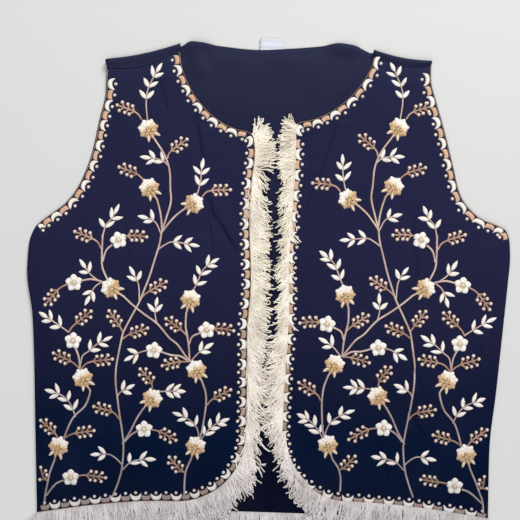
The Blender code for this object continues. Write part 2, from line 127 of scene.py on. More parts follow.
BACK_NECK = (
    # x, height
    (-97.0, 465.0),
    (-85.0, 470.0),
    (-62.0, 467.5),
    (-21.0, 464.5),
    (10.0, 466.5),
    (43.0, 470.0),
    (62.0, 473.0),
    (78.0, 471.0),
    (97.0, 463.5),
)

# Where the back's neck stands up beside the shoulders
BACK_RIDGES = (
    # x and height of one end, x and height of the other, half width, lift
    (-98.0, 469.0, -60.0, 468.0, 14.0, 4.4),
    (46.0, 471.0, 98.0, 466.0, 14.0, 4.4),
    (-87.0, 478.0, -70.0, 428.0, 13.0, 3.8),
    (96.0, 476.0, 62.0, 408.0, 13.0, 4.2),
)
FOLD_END_SHARE = 0.3  # how much of a fold's length each end takes to die out

# Between the fronts and in the open neck the back lies free, in slow waves
FREE_RISE = 2.4
FREE_START = 3.0  # how far inside the neckline it starts to rise
FREE_EASE = 16.0
NECK_EASE = 14.0  # below the neck edge
RIDGE_EASE = 8.0

BACK_ROWS = 120
BACK_HEM_LEVEL = 60.0  # the back's hem is level this far from the middle
BACK_HEM_EASE = 160.0
ARMHOLE_EASE = 7.0
NECK_COLUMNS = 56
SHOULDER_COLUMNS = 22
ROLL_ROWS = 12
FLAP_ROWS = 8


def spot(x, height, z):
    """A place on the vest, in metres in the part's frame."""
    return Vector((x * MM, (height - ORIGIN_HEIGHT) * MM, z * MM))


def ease(t):
    """0 to 1 with level ends."""
    t = min(max(t, 0.0), 1.0)
    return t * t * (3.0 - 2.0 * t)


def through(table, at):
    """A smooth value at a place, through rows of (place, value) that never overshoots them."""
    last = len(table) - 1
    at = min(max(at, table[0][0]), table[last][0])
    i = max(k for k in range(last) if table[k][0] <= at)
    slopes = [(b[1] - a[1]) / (b[0] - a[0]) for a, b in zip(table, table[1:])]

    def tangent(k):
        if k in (0, last):
            return slopes[min(k, last - 1)]
        before, after = slopes[k - 1], slopes[k]
        return 0.0 if before * after <= 0.0 else 2.0 * before * after / (before + after)

    width = table[i + 1][0] - table[i][0]
    t = (at - table[i][0]) / width
    return (
        (1 + 2 * t) * (1 - t) ** 2 * table[i][1]
        + t * (1 - t) ** 2 * width * tangent(i)
        + t * t * (3 - 2 * t) * table[i + 1][1]
        + t * t * (t - 1) * width * tangent(i + 1)
    )


def side_x(side, height):
    """Distance of a side seam or armhole from the middle."""
    column = 1 if side == "left" else 2
    return through([(row[0], row[column]) for row in SIDE_SECTIONS], height)


def mirrored(side, place):
    """A place worked out on the right, on its own side."""
    return Vector((FRONTS[side]["sign"] * place.x, place.y))


def shoulder_seam(side, share):
    """A place on the shoulder seam, from the armhole at 0 to the neck at 1."""
    lay = FRONTS[side]
    outer = side_x(side, lay["seam_tip"])
    height = lay["seam_tip"] + (NECK_HEIGHT - lay["seam_tip"]) * share
    sag = lay["seam_sag"] * math.sin(math.pi * share)
    return Vector((outer + (NECK_HALF_WIDTH - outer) * share, height - sag))


def fold_centre(side, share):
    """Centre of the rolled shoulder edge, from the armhole at 0 to the neck at 1."""
    tip = FRONTS[side]["fold_tip"]
    outer = side_x(side, tip) + BACK_SHOWS
    height = tip + (NECK_FOLD_HEIGHT - tip) * share - FOLD_SAG * math.sin(math.pi * share)
    return Vector((outer + (NECK_HALF_WIDTH - outer) * share, height - FOLD_RADIUS - CLOTH / 2))


def shoulder_place(side, share, step):
    """A place on the middle of the cloth that rolls over the shoulder and runs down to the seam."""
    centre = fold_centre(side, share)
    high = CLOTH / 2 + 2 * FOLD_RADIUS
    if step <= ROLL_ROWS:
        turn = math.pi * (step / ROLL_ROWS - 0.5)
        place = mirrored(side, centre + Vector((0.0, FOLD_RADIUS * math.cos(turn))))
        return spot(place.x, place.y, CLOTH / 2 + FOLD_RADIUS * (1 + math.sin(turn)))
    t = (step - ROLL_ROWS) / FLAP_ROWS
    place = mirrored(side, centre.lerp(shoulder_seam(side, share) + Vector((0.0, SEAM_GAP)), t))
    return spot(place.x, place.y, high + (SEAM_REST + CLOTH / 2 - high) * ease(t))


def back_hem_height(x):
    """Height of the back's hem, level in the middle and lower at the sides."""
    side = "left" if x < 0.0 else "right"
    return FRONTS[side]["side_hem"] * ease((abs(x) - BACK_HEM_LEVEL) / BACK_HEM_EASE)


def past_neckline(side, x, height):
    """How far a place is outside the front's neckline, and below zero in the open neck."""
    top, edge = FRONTS[side]["edge"][-1]
    return Vector((max(abs(x) - edge, 0.0), NECK_HEIGHT - height)).length - (NECK_HEIGHT - top)


def distance_to_line(place, start, end):
    """How far a place is from a straight line, and how far along it, from 0 to 1."""
    along = end - start
    away = place - start
    t = min(max(away.dot(along) / along.length_squared, 0.0), 1.0)
    return (away - along * t).length, t


def back_rise(x, height):
    """How far the back stands off the table in the open neck, where nothing lies on it."""
    side = "left" if x < 0.0 else "right"
    inside = -past_neckline(side, x, height)
    free = ease((inside - FREE_START) / FREE_EASE)
    free *= ease((through(BACK_NECK, x) - height) / NECK_EASE)
    wave = 0.45 + 0.9 * noise.noise(Vector((x / 62.0 + height / 160.0, height / 44.0, 3.1)))
    rise = FREE_RISE * free * max(wave, 0.0)
    for x0, h0, x1, h1, half_width, lift in BACK_RIDGES:
        away, along = distance_to_line(Vector((x, height)), Vector((x0, h0)), Vector((x1, h1)))
        ends = ease(min(along, 1.0 - along) / FOLD_END_SHARE)
        ridge = lift * ends * (1.0 - ease(away / half_width)) * ease((inside - 0.5) / RIDGE_EASE)
        rise = max(rise, ridge)
    return rise


def back_mesh():
    """Rows of the back from hem to neck, and each shoulder rolled over to its seam."""
    shoulder = [k / SHOULDER_COLUMNS for k in range(SHOULDER_COLUMNS + 1)]
    neck = [NECK_HALF_WIDTH * (2 * k / NECK_COLUMNS - 1) for k in range(1, NECK_COLUMNS)]
    top = [mirrored("left", fold_centre("left", share)) for share in shoulder]
    top += [Vector((x, through(BACK_NECK, x))) for x in neck]
    top += [mirrored("right", fold_centre("right", share)) for share in shoulder[::-1]]
    wide = len(top)
    places = []
    for j in range(BACK_ROWS + 1):
        v = j / BACK_ROWS
        ends = []
        for side in FRONTS:
            low, high = FRONTS[side]["side_hem"], FRONTS[side]["fold_tip"] - FOLD_RADIUS - CLOTH / 2
            height = low + (high - low) * v
            shows = BACK_SHOWS * ease((height - UNDERARM_HEIGHT) / ARMHOLE_EASE)
            ends.append(mirrored(side, Vector((side_x(side, height) + shows, height))))
        for i, crown in enumerate(top):
            u = i / (wide - 1)
            x = ends[0].x + (ends[1].x - ends[0].x) * u
            straight = top[0].lerp(top[-1], u)
            x += (crown.x - straight.x) * v
            foot = back_hem_height(x)
            height = foot + (crown.y - foot) * v
            places.append(spot(x, height, CLOTH / 2 + back_rise(x, height)))
    faces = [
        (k, k + 1, k + wide + 1, k + wide)
        for j in range(BACK_ROWS)
        for k in range(j * wide, j * wide + wide - 1)
    ]
    last_row = BACK_ROWS * wide
    right_flap = wide - 1 - SHOULDER_COLUMNS
    for side, first, shares in (("left", 0, shoulder), ("right", right_flap, shoulder[::-1])):
        below = [last_row + first + k for k in range(len(shares))]
        for step in range(1, ROLL_ROWS + FLAP_ROWS + 1):
            row = [len(places) + k for k in range(len(shares))]
            places += [shoulder_place(side, share, step) for share in shares]
            faces += [(below[k], below[k + 1], row[k + 1], row[k]) for k in range(SHOULDER_COLUMNS)]
            below = row
    mesh = bpy.data.meshes.new("back_panel")
    mesh.from_pydata(places, [], faces)
    return mesh


def colour(code):
    """A hex colour, written as it is seen, in the linear values that a shader takes."""
    parts = [int(code[k : k + 2], 16) / 255 for k in (1, 3, 5)]
    return (*(c / 12.92 if c <= 0.04045 else ((c + 0.055) / 1.055) ** 2.4 for c in parts), 1.0)


def add(tree, kind, inputs=None, **settings):
    """Adds a node with its settings, and links or sets its inputs, which are named or numbered."""
    node = tree.nodes.new(kind)
    for name, value in settings.items():
        setattr(node, name, value)
    for key, value in (inputs or {}).items():
        if isinstance(value, bpy.types.NodeSocket):
            tree.links.new(value, node.inputs[key])
        else:
            node.inputs[key].default_value = value
    return node


def blank(name, **values):
    """A new material, its node tree and its shader, with the shader's constant values set."""
    made = bpy.data.materials.new(name)
    made.use_nodes = True
    shader = made.node_tree.nodes["Principled BSDF"]
    for socket, value in values.items():
        shader.inputs[socket.replace("_", " ")].default_value = value
    return made, made.node_tree, shader


def emboss(tree, shader, height, strength, distance):
    """Gives a shader a bump of this height."""
    bump = {"Height": height, "Strength": strength, "Distance": distance}
    bump = add(tree, "ShaderNodeBump", bump).outputs[0]
    tree.links.new(bump, shader.inputs["Normal"])


def by_height(tree, tones):
    """Adds a colour that changes up the vest. tones gives hex colours at heights, the lowest first."""
    place = add(tree, "ShaderNodeTexCoord").outputs["Object"]
    level = add(tree, "ShaderNodeSeparateXYZ", {0: place}).outputs["Y"]
    low, high = ((height - ORIGIN_HEIGHT) * MM for height in (tones[0][0], tones[-1][0]))
    share = {"Value": level, "From Min": low, "From Max": high}
    share = add(tree, "ShaderNodeMapRange", share).outputs[0]
    ramp = add(tree, "ShaderNodeValToRGB", {0: share})
    stops = ramp.color_ramp.elements
    while len(stops) < len(tones):
        stops.new(1.0)
    for stop, (height, code) in zip(stops, tones):
        stop.position = (height - tones[0][0]) / (tones[-1][0] - tones[0][0])
        stop.color = colour(code)
    return ramp.outputs[0]


def crepe(name, tones, wear_and_shade):
    """Navy polyester crepe, piece dyed: matt, with a fine pebbled weave and a faint bloom.

    The yarns are 0.3 mm apart, too fine to show, so the pebbles are drawn 0.9 mm apart.
    """
    made, tree, shader = blank(name, Roughness=0.8, Specular_IOR_Level=0.05)
    place = add(tree, "ShaderNodeTexCoord").outputs["Object"]
    # The navy at each height, as tones gives: darker toward the hem, which is painted shade
    dyed = by_height(tree, tones)
    cloud = add(tree, "ShaderNodeTexNoise", {"Vector": place, "Scale": 14.0, "Detail": 3.0}).outputs[0]
    bloom = {"Value": cloud, "From Min": 0.42, "From Max": 0.7, "To Max": 0.2}
    bloom = add(tree, "ShaderNodeMapRange", bloom).outputs[0]
    toned = add(tree, "ShaderNodeMix", {0: bloom, 6: dyed, 7: colour(wear_and_shade)}, data_type="RGBA")
    pebble = add(tree, "ShaderNodeTexNoise", {"Vector": place, "Scale": 1100.0, "Detail": 1.0})
    speck = add(tree, "ShaderNodeMapRange", {"Value": pebble.outputs[0], "To Min": 0.82, "To Max": 1.18})
    final = {0: toned.outputs[2], "Scale": speck.outputs[0]}
    final = add(tree, "ShaderNodeVectorMath", final, operation="SCALE").outputs[0]
    tree.links.new(final, shader.inputs["Base Color"])
    emboss(tree, shader, pebble.outputs[0], 0.35, 0.0003)
    return made


def in_scene(name, data):
    """A new object in the scene."""
    made = bpy.data.objects.new(name, data)
    bpy.context.scene.collection.objects.link(made)
    return made


def cloth(name, mesh, material, thickness, offset):
    """A panel of cloth: a smooth sheet with its thickness."""
    mesh.materials.append(material)
    mesh.shade_smooth()
    panel = in_scene(name, mesh)
    wall = panel.modifiers.new("thickness", "SOLIDIFY")
    wall.thickness = thickness * MM
    wall.offset = offset
    return panel


# The inside navy at each height: darker toward the hem, as painted shade
INSIDE_TONES = ((0, "#02061a"), (110, "#060a20"), (230, "#15172c"), (380, "#1e2138"), (455, "#25283f"))
inside_crepe = crepe("navy_crepe_inside", INSIDE_TONES, "#23263c")
back_panel = cloth("back_panel", back_mesh(), inside_crepe, CLOTH, 0.0)
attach(back_panel, "root")
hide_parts("back")


# Front panels ------------------------------------------------------------------------------------
# Two fronts of the same crepe, each with a rounded lower corner and half of the round neckline.
# They lie on the back, and the long soft folds and sharper creases of a packed garment show.

HEM_CORNER_RADIUS = 69.0
TOP_CORNER_RADIUS = 11.0
TOP_CORNER_TURN = 72.0
FRONT_REST = 1.5
LEAST_REST = 1.2  # in a crease: just clear of the back
PUFF = 1.5
PUFF_WIDTH = 38.0
SIDE_ROLL = 1.4
SIDE_ROLL_WIDTH = 12.0
SIDE_ROLL_END = 250.0
MOST_LIFT = 3.5
SHOULDER_RISE_LENGTH = 45.0
FINE_STEPS = 48
EDGE_STEP = 2.0
GRID_STEP = 2.3

FOLDS = (
    # front, x and height of one end, x and height of the other, half width, lift
    ("left", -205.0, 60.0, -214.0, 225.0, 15.0, 1.3),
    ("left", -182.0, 250.0, -176.0, 335.0, 16.0, 1.5),
    ("left", -70.0, 330.0, -30.0, 262.0, 15.0, 1.5),
    ("left", -84.0, 300.0, -72.0, 395.0, 14.0, 1.2),
    ("left", -140.0, 340.0, -152.0, 425.0, 15.0, 1.3),
    ("left", -140.0, 30.0, -128.0, 150.0, 20.0, 0.9),
    ("left", -60.0, 60.0, -52.0, 170.0, 18.0, 0.8),
    ("right", 74.0, 400.0, 32.0, 292.0, 13.0, 1.8),
    ("right", 112.0, 420.0, 118.0, 340.0, 15.0, 1.3),
    ("right", 148.0, 190.0, 152.0, 305.0, 16.0, 1.6),
    ("right", 180.0, 235.0, 176.0, 330.0, 14.0, 1.2),
    ("right", 205.0, 40.0, 214.0, 215.0, 14.0, 1.7),
    ("right", 158.0, 60.0, 166.0, 175.0, 16.0, 1.2),
    ("right", 110.0, 30.0, 120.0, 120.0, 18.0, 0.9),
    ("right", 58.0, 90.0, 50.0, 220.0, 18.0, 0.8),
)

CREASES = (
    # front, x and height of the upper end, x and height of the lower one, half width, depth
    ("left", -82.0, 410.0, -68.5, 340.0, 12.0, 2.2),
    ("left", -66.0, 320.0, -53.0, 284.0, 12.0, 2.1),
    ("left", -58.0, 300.0, -30.0, 256.0, 12.0, 2.3),
    ("left", -66.0, 318.0, -57.0, 254.0, 12.0, 1.7),
    ("left", -118.0, 438.0, -106.0, 392.0, 10.0, 1.3),
    ("left", -150.0, 300.0, -141.0, 246.0, 10.0, 1.2),
    ("right", 67.0, 410.0, 43.0, 328.0, 12.0, 2.4),
    ("right", 50.0, 356.0, 24.0, 278.0, 12.0, 2.3),
    ("right", 141.0, 324.0, 143.0, 242.0, 12.0, 1.7),
    ("right", 146.0, 274.0, 147.0, 232.0, 10.0, 1.5),
    ("right", 134.0, 178.0, 162.0, 118.0, 10.0, 1.6),
    ("right", 136.0, 118.0, 166.0, 74.0, 10.0, 1.5),
    ("right", 120.0, 62.0, 129.0, 20.0, 10.0, 1.3),
    ("right", 212.0, 192.0, 216.0, 108.0, 10.0, 1.5),
    ("right", 106.0, 456.0, 138.0, 424.0, 10.0, 1.4),
)
CREASE_STEEP = 2.0  # how wide the steep right-hand side of a crease is
UNEVEN = 0.35


def side_edge(side):
    """The side seam and armhole, from the hem to the shoulder seam."""
    low, high = FRONTS[side]["side_hem"], FRONTS[side]["seam_tip"]
    heights = [low + (high - low) * k / (2 * FINE_STEPS) for k in range(2 * FINE_STEPS + 1)]
    return [Vector((side_x(side, height), height)) for height in heights]


def arc(centre, radius, start, end):
    """Places on an arc, from one angle to another in degrees."""
    angles = [math.radians(start + (end - start) * k / FINE_STEPS) for k in range(FINE_STEPS + 1)]
    return [Vector((centre[0] + radius * math.cos(a), centre[1] + radius * math.sin(a))) for a in angles]


def opening_edge(side):
    """The front's free edge from the hem, round the lower corner, up the opening and the neckline."""
    lay = FRONTS[side]
    foot, head = lay["edge"][0], lay["edge"][-1]
    corner = (foot[1] + HEM_CORNER_RADIUS, lay["corner_height"] + HEM_CORNER_RADIUS)
    path = arc(corner, HEM_CORNER_RADIUS, 270, 180)
    top = head[0] - TOP_CORNER_RADIUS
    for k in range(1, FINE_STEPS):
        height = corner[1] + (top - corner[1]) * k / FINE_STEPS
        path.append(Vector((through(lay["edge"], height), height)))
    path += arc((head[1] + TOP_CORNER_RADIUS, top), TOP_CORNER_RADIUS, 180, 180 - TOP_CORNER_TURN)
    start, end = path[-1], Vector((NECK_HALF_WIDTH, NECK_HEIGHT))
    for k in range(1, FINE_STEPS + 1):
        turn = math.pi / 2 * k / FINE_STEPS
        across = math.sin(turn) ** (2 / lay["neck_bow"])
        down = max(math.cos(turn), 0.0) ** (2 / lay["neck_bow"])
        path.append(Vector((start.x + (end.x - start.x) * across, end.y + (start.y - end.y) * down)))
    return path


def hem_edge(side):
    """The front's hem, from the side seam to the lower corner."""
    lay = FRONTS[side]
    outer, inner = side_x(side, lay["side_hem"]), lay["edge"][0][1] + HEM_CORNER_RADIUS
    path = []
    for k in range(FINE_STEPS + 1):
        share = k / FINE_STEPS
        rise = (lay["corner_height"] - lay["side_hem"]) * math.sin(math.pi / 2 * share)
        path.append(Vector((outer + (inner - outer) * share, lay["side_hem"] + rise)))
    return path


def stepped(path, step):
    """The same path in equal steps of about this length."""
    lengths = [0.0]
    for a, b in zip(path, path[1:]):
        lengths.append(lengths[-1] + (b - a).length)
    count = max(round(lengths[-1] / step), 1)
    found, k = [], 1
    for n in range(count + 1):
        at = lengths[-1] * n / count
        while k < len(path) - 1 and lengths[k] < at:
            k += 1
        found.append(path[k - 1].lerp(path[k], (at - lengths[k - 1]) / (lengths[k] - lengths[k - 1])))
    return found


def front_underside(side, x, height):
    """How high the underside of a front is over the table, without its creases. x is signed."""
    lay = FRONTS[side]
    across = abs(x)
    from_side = side_x(side, height) - across
    if height < lay["edge"][-1][0]:
        from_opening = across - through(lay["edge"], height)
    else:
        depth = NECK_HEIGHT - lay["edge"][-1][0]
        from_opening = Vector((across - lay["edge"][-1][1], NECK_HEIGHT - height)).length - depth
    from_hem = height - lay["corner_height"]
    lift = PUFF * ease(min(from_side, from_opening, from_hem) / PUFF_WIDTH)
    roll = ease(from_side / SIDE_ROLL_WIDTH) * ease(min(from_opening, from_hem) / PUFF_WIDTH)
    lift += SIDE_ROLL * roll * (1.0 - ease((height - SIDE_ROLL_END) / PUFF_WIDTH))
    for front, x0, h0, x1, h1, half_width, fold_lift in FOLDS:
        if front == side:
            away, along = distance_to_line(Vector((x, height)), Vector((x0, h0)), Vector((x1, h1)))
            ends = ease(min(along, 1.0 - along) / FOLD_END_SHARE)
            lift += fold_lift * ends * (1.0 - ease(away / half_width))
    lift = MOST_LIFT * math.tanh(max(lift, 0.0) / MOST_LIFT)
    seam_height = shoulder_seam(side, 0.5).y
    near_seam = ease(1.0 - (seam_height - height) / SHOULDER_RISE_LENGTH)
    return (FRONT_REST + lift) * (1.0 - near_seam) + SEAM_REST * near_seam


def crease(side, x, height):
    """How far the creases press a front down, and its small unevenness."""
    press = 0.0
    for front, x0, h0, x1, h1, half_width, depth in CREASES:
        if front == side:
            place, start, end = Vector((x, height)), Vector((x0, h0)), Vector((x1, h1))
            away, along = distance_to_line(place, start, end)
            ends = ease(min(along, 1.0 - along) / FOLD_END_SHARE)
            width = CREASE_STEEP if (end - start).cross(place - start) > 0.0 else half_width
            press = max(press, depth * ends * max(1.0 - away / width, 0.0))
    return press - UNEVEN * noise.noise(Vector((x / 38.0, height / 55.0, 7.7)))


def crease_places(side):
    """Places on each crease and beside its steep side, for a front's mesh to follow it."""
    places = []
    for front, x0, h0, x1, h1, half_width, depth in CREASES:
        if front == side:
            start, end = Vector((x0, h0)), Vector((x1, h1))
            right = Vector((h0 - h1, x1 - x0)).normalized() * CREASE_STEEP
            count = round((end - start).length / EDGE_STEP)
            line = [start.lerp(end, k / count) for k in range(1, count)]
            places += line + [place + right for place in line]
    return places


def filled(outline, inner, step):
    """Places on even rows inside an outline, and the triangles that join them to each other.

    The inner places are kept as they are.
    """
    edge = kdtree.KDTree(len(outline))
    for k, place in enumerate(outline):
        edge.insert((place.x, place.y, 0.0), k)
    edge.balance()
    low, high = min(place.y for place in outline), max(place.y for place in outline)
    rows = round((high - low) / step)
    places = outline + inner
    for j in range(1, rows):
        height = low + (high - low) * j / rows
        sides = zip(outline, outline[1:] + outline[:1])
        sides = [(a, b) for a, b in sides if (a.y > height) != (b.y > height)]
        crossings = sorted(a.x + (b.x - a.x) * (height - a.y) / (b.y - a.y) for a, b in sides)
        for start, end in zip(crossings[::2], crossings[1::2]):
            columns = max(round((end - start) / step), 1)
            row = [Vector((start + (end - start) * i / columns, height)) for i in range(1, columns)]
            places += [place for place in row if edge.find((place.x, place.y, 0.0))[2] > 0.6 * step]
    loop = [(k, (k + 1) % len(outline)) for k in range(len(outline))]
    found = geometry.delaunay_2d_cdt(places, loop, [], 1, 1e-5)
    return found[0], found[2]


def front_mesh(side):
    """One front: its outline filled with fine triangles, and laid on the back with its folds."""
    shoulder = [shoulder_seam(side, k / FINE_STEPS) for k in range(FINE_STEPS + 1)]
    edges = (side_edge(side), shoulder, opening_edge(side)[::-1], hem_edge(side)[::-1])
    outline = [mirrored(side, place) for edge in edges for place in stepped(edge, EDGE_STEP)[:-1]]
    places, faces = filled(outline, crease_places(side), GRID_STEP)
    solid = []
    for place in places:
        under = front_underside(side, place.x, place.y) - crease(side, place.x, place.y)
        solid.append(spot(place.x, place.y, max(under, LEAST_REST) + CLOTH))
    mesh = bpy.data.meshes.new("front_%s_panel" % side)
    mesh.from_pydata(solid, [], faces)
    if mesh.polygons[0].normal.z < 0.0:
        mesh.flip_normals()
    return mesh


# The outside navy at each height: darker toward the hem, as painted shade
CREPE_TONES = (
    # height, colour
    (0.0, "#000a22"),
    (70.0, "#000e29"),
    (130.0, "#0f142e"),
    (190.0, "#1a1b36"),
    (280.0, "#1f1f3c"),
    (405.0, "#1e203b"),
    (430.0, "#20223d"),
    (455.0, "#262944"),
)
outside_crepe = crepe("navy_crepe", CREPE_TONES, "#1c2140")
fronts = {}
for side in FRONTS:
    fronts[side] = cloth("front_%s_panel" % side, front_mesh(side), outside_crepe, CLOTH, -1.0)
    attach(fronts[side], "root")
    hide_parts("front_" + side)


# Border ------------------------------------------------------------------------------------------
# A band worked along the neck, the opening, the hem and the armholes: white crescents and tan
# blocks in padded satin stitch, a knot in each hollow, and a brown cord over the raw edge.

THREAD_RISE = 0.8  # padding of the satin stitches
SINK = 0.15  # how deep the stitches bite into the cloth
REPEAT = 10.05  # from a crescent to the next block, where the band is neither stretched nor eased
KNOT_IN = 8.6
KNOT_WIDTH = 3.4
CORD_IN = 0.3
CORD_WIDTH = 0.6
CORD_STEP = 2.0
CORD_LIFT = 0.15
ARMHOLE_END = 280.0
PATH_STEP = 1.0
CLEAR_HEIGHT = 0.05  # metres: well above everything

# Each border in stretches, because it is worked by hand. Crescents and blocks take turns along one.
STRETCHES = {
    # how far the first shape is from the shoulder, how far apart they are, how many, what comes first
    ("left", "front"): (
        (9.3, 10.05, 11, "block"),
        (124.9, 13.0, 1, "crescent"),
        (138.8, 10.9, 2, "block"),
        (160.0, 10.05, 20, "block"),
        (359.3, 9.75, 8, "block"),
        (437.5, 10.12, 23, "block"),
    ),
    ("right", "front"): (
        (4.9, 11.25, 6, "crescent"),
        (70.2, 9.3, 4, "crescent"),
        (112.7, 15.0, 1, "crescent"),
        (128.6, 10.38, 14, "block"),
        (274.0, 10.05, 10, "block"),
        (373.5, 9.55, 9, "block"),
        (460.4, 11.05, 8, "crescent"),
        (548.2, 9.9, 8, "crescent"),
        (628.7, 11.0, 4, "crescent"),
    ),
    ("left", "armhole"): ((15.0, 10.3, 17, "crescent"),),
    ("right", "armhole"): ((13.0, 10.9, 18, "crescent"),),
}


def satin_pad(name, near, far, rise, along=8, across=4, bottom=-SINK):
    """A padded satin-stitch shape between two edges, closed underneath.

    Each edge gives a place for 0 to 1. The thread map runs along the shape and across it, in mm.
    """
    pad = bmesh.new()
    thread = pad.loops.layers.uv.new("thread")
    rows, maps = [], {}
    length = sum((near((k + 1) / along) - near(k / along)).length for k in range(along))
    for i in range(along + 1):
        u = i / along
        a, b = near(u), far(u)
        rows.append([])
        for j in range(across + 1):
            v = j / across
            crown = math.sqrt(max(1.0 - (2.0 * v - 1.0) ** 2, 0.0)) * (1.0 - (2.0 * u - 1.0) ** 6)
            place = a.lerp(b, v)
            corner = pad.verts.new((place.x * MM, place.y * MM, (bottom + (rise - bottom) * crown) * MM))
            maps[corner] = (u * length, (v - 0.5) * (b - a).length)
            rows[-1].append(corner)
    for low, high in zip(rows, rows[1:]):
        for j in range(across):
            pad.faces.new((low[j], high[j], high[j + 1], low[j + 1]))
        pad.faces.new((low[0], low[-1], high[-1], high[0]))
    for end in (rows[0], rows[-1]):
        if (end[0].co - end[-1].co).length > 0.01 * MM:
            pad.faces.new(end)
    for face in pad.faces:
        face.smooth = True
        for corner in face.loops:
            corner[thread].uv = maps[corner.vert]
    bmesh.ops.remove_doubles(pad, verts=pad.verts, dist=0.005 * MM)
    bmesh.ops.recalc_face_normals(pad, faces=pad.faces)
    if pad.calc_volume(signed=True) < 0.0:
        bmesh.ops.reverse_faces(pad, faces=pad.faces)
    mesh = bpy.data.meshes.new(name)
    pad.to_mesh(mesh)
    pad.free()
    return in_scene(name, mesh)


def knot_shape(name, width, rise, rings=3, sides=10):
    """A round padded knot, closed underneath."""
    knot = bmesh.new()
    thread = knot.loops.layers.uv.new("thread")
    levels = []
    for j in range(rings):
        climb = math.pi / 2 * j / rings
        reach, z = width / 2 * math.cos(climb), -SINK + (rise + SINK) * math.sin(climb)
        turns = [2 * math.pi * i / sides for i in range(sides)]
        places = [(reach * math.cos(a) * MM, reach * math.sin(a) * MM, z * MM) for a in turns]
        levels.append([knot.verts.new(place) for place in places])
    crown = knot.verts.new((0.0, 0.0, rise * MM))
    knot.faces.new(levels[0][::-1])
    for low, high in zip(levels, levels[1:]):
        for i in range(sides):
            knot.faces.new((low[i - 1], low[i], high[i], high[i - 1]))
    for i in range(sides):
        knot.faces.new((levels[-1][i - 1], levels[-1][i], crown))
    for face in knot.faces:
        face.smooth = True
        for corner in face.loops:
            corner[thread].uv = corner.vert.co.xy / MM
    mesh = bpy.data.meshes.new(name)
    knot.to_mesh(mesh)
    knot.free()
    return in_scene(name, mesh)


def new_tree(name, **inputs):
    """An empty Geometry Nodes tree, and its inputs' sockets, which have these names and kinds."""
    tree = bpy.data.node_groups.new(name, "GeometryNodeTree")
    tree.interface.new_socket("Geometry", in_out="INPUT", socket_type="NodeSocketGeometry")
    for label, kind in inputs.items():
        tree.interface.new_socket(label, in_out="INPUT", socket_type="NodeSocket" + kind)
    tree.interface.new_socket("Geometry", in_out="OUTPUT", socket_type="NodeSocketGeometry")
    return tree, add(tree, "NodeGroupInput").outputs


def set_copies(tree, points, shape, **turn_and_size):
    """Adds the nodes that set a copy of a shape on each point."""
    setting = {"Points": points, "Instance": shape, **turn_and_size}
    copies = add(tree, "GeometryNodeInstanceOnPoints", setting).outputs[0]
    return add(tree, "GeometryNodeRealizeInstances", {0: copies}).outputs[0]


def tubes(tree, paths, sides, radius, width):
    """Adds the nodes that make a round tube along each path, with its length in along."""
    length = add(tree, "GeometryNodeSplineParameter").outputs["Length"]
    marked = {0: paths, "Name": "along", "Value": length}
    marked = add(tree, "GeometryNodeStoreNamedAttribute", marked).outputs[0]
    ring = {"Resolution": sides, "Radius": radius}
    ring = add(tree, "GeometryNodeCurvePrimitiveCircle", ring).outputs[0]
    tube = {"Curve": marked, "Profile Curve": ring, "Scale": width, "Fill Caps": True}
    tube = add(tree, "GeometryNodeCurveToMesh", tube).outputs[0]
    return add(tree, "GeometryNodeSetShadeSmooth", {0: tube}).outputs[0]


def end_tree(tree, made, material):
    """Ends a tree: what it made becomes plain geometry of one material."""
    real = add(tree, "GeometryNodeRealizeInstances", {0: made}).outputs[0]
    final = add(tree, "GeometryNodeSetMaterial", {0: real, "Material": material}).outputs[0]
    add(tree, "NodeGroupOutput", {0: final})
    return tree


def drape(tree, work, cloth):
    """Adds the nodes that lay flat work on a cloth, each point as high over it as it was over zero."""
    position = add(tree, "GeometryNodeInputPosition").outputs[0]
    flat = add(tree, "ShaderNodeSeparateXYZ", {0: position}).outputs
    above = {"X": flat["X"], "Y": flat["Y"], "Z": CLEAR_HEIGHT}
    above = add(tree, "ShaderNodeCombineXYZ", above).outputs[0]
    target = add(tree, "GeometryNodeObjectInfo", {"Object": cloth}).outputs["Geometry"]
    down = {"Target Geometry": target, "Source Position": above, "Ray Direction": (0.0, 0.0, -1.0)}
    ray = add(tree, "GeometryNodeRaycast", {**down, "Ray Length": 2 * CLEAR_HEIGHT}).outputs
    nearest = {"Mesh": target, "Value": position, "Sample Position": above}
    beside = add(tree, "GeometryNodeSampleNearestSurface", nearest, data_type="FLOAT_VECTOR").outputs[0]
    either = {"Switch": ray["Is Hit"], "False": beside, "True": ray["Hit Position"]}
    found = add(tree, "GeometryNodeSwitch", either, input_type="VECTOR").outputs[0]
    height = add(tree, "ShaderNodeSeparateXYZ", {0: found}).outputs["Z"]
    up = add(tree, "ShaderNodeCombineXYZ", {"Z": height}).outputs[0]
    return add(tree, "GeometryNodeSetPosition", {"Geometry": work, "Offset": up}).outputs[0]


def grown(name, tree, base, **given):
    """Runs a tree on a mesh, and keeps what it makes as a plain mesh that rides with the vest."""
    piece = in_scene(name, base)
    making = piece.modifiers.new("making", "NODES")
    making.node_group = tree
    for item in tree.interface.items_tree:
        if item.in_out == "INPUT" and item.name in given:
            making[item.identifier] = given[item.name]
    depsgraph = bpy.context.evaluated_depsgraph_get()
    made = bpy.data.meshes.new_from_object(
        piece.evaluated_get(depsgraph), preserve_all_data_layers=True, depsgraph=depsgraph
    )
    piece.modifiers.clear()
    piece.data = made
    made.name = name
    bpy.data.meshes.remove(base)
    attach(piece, "root")
    return piece


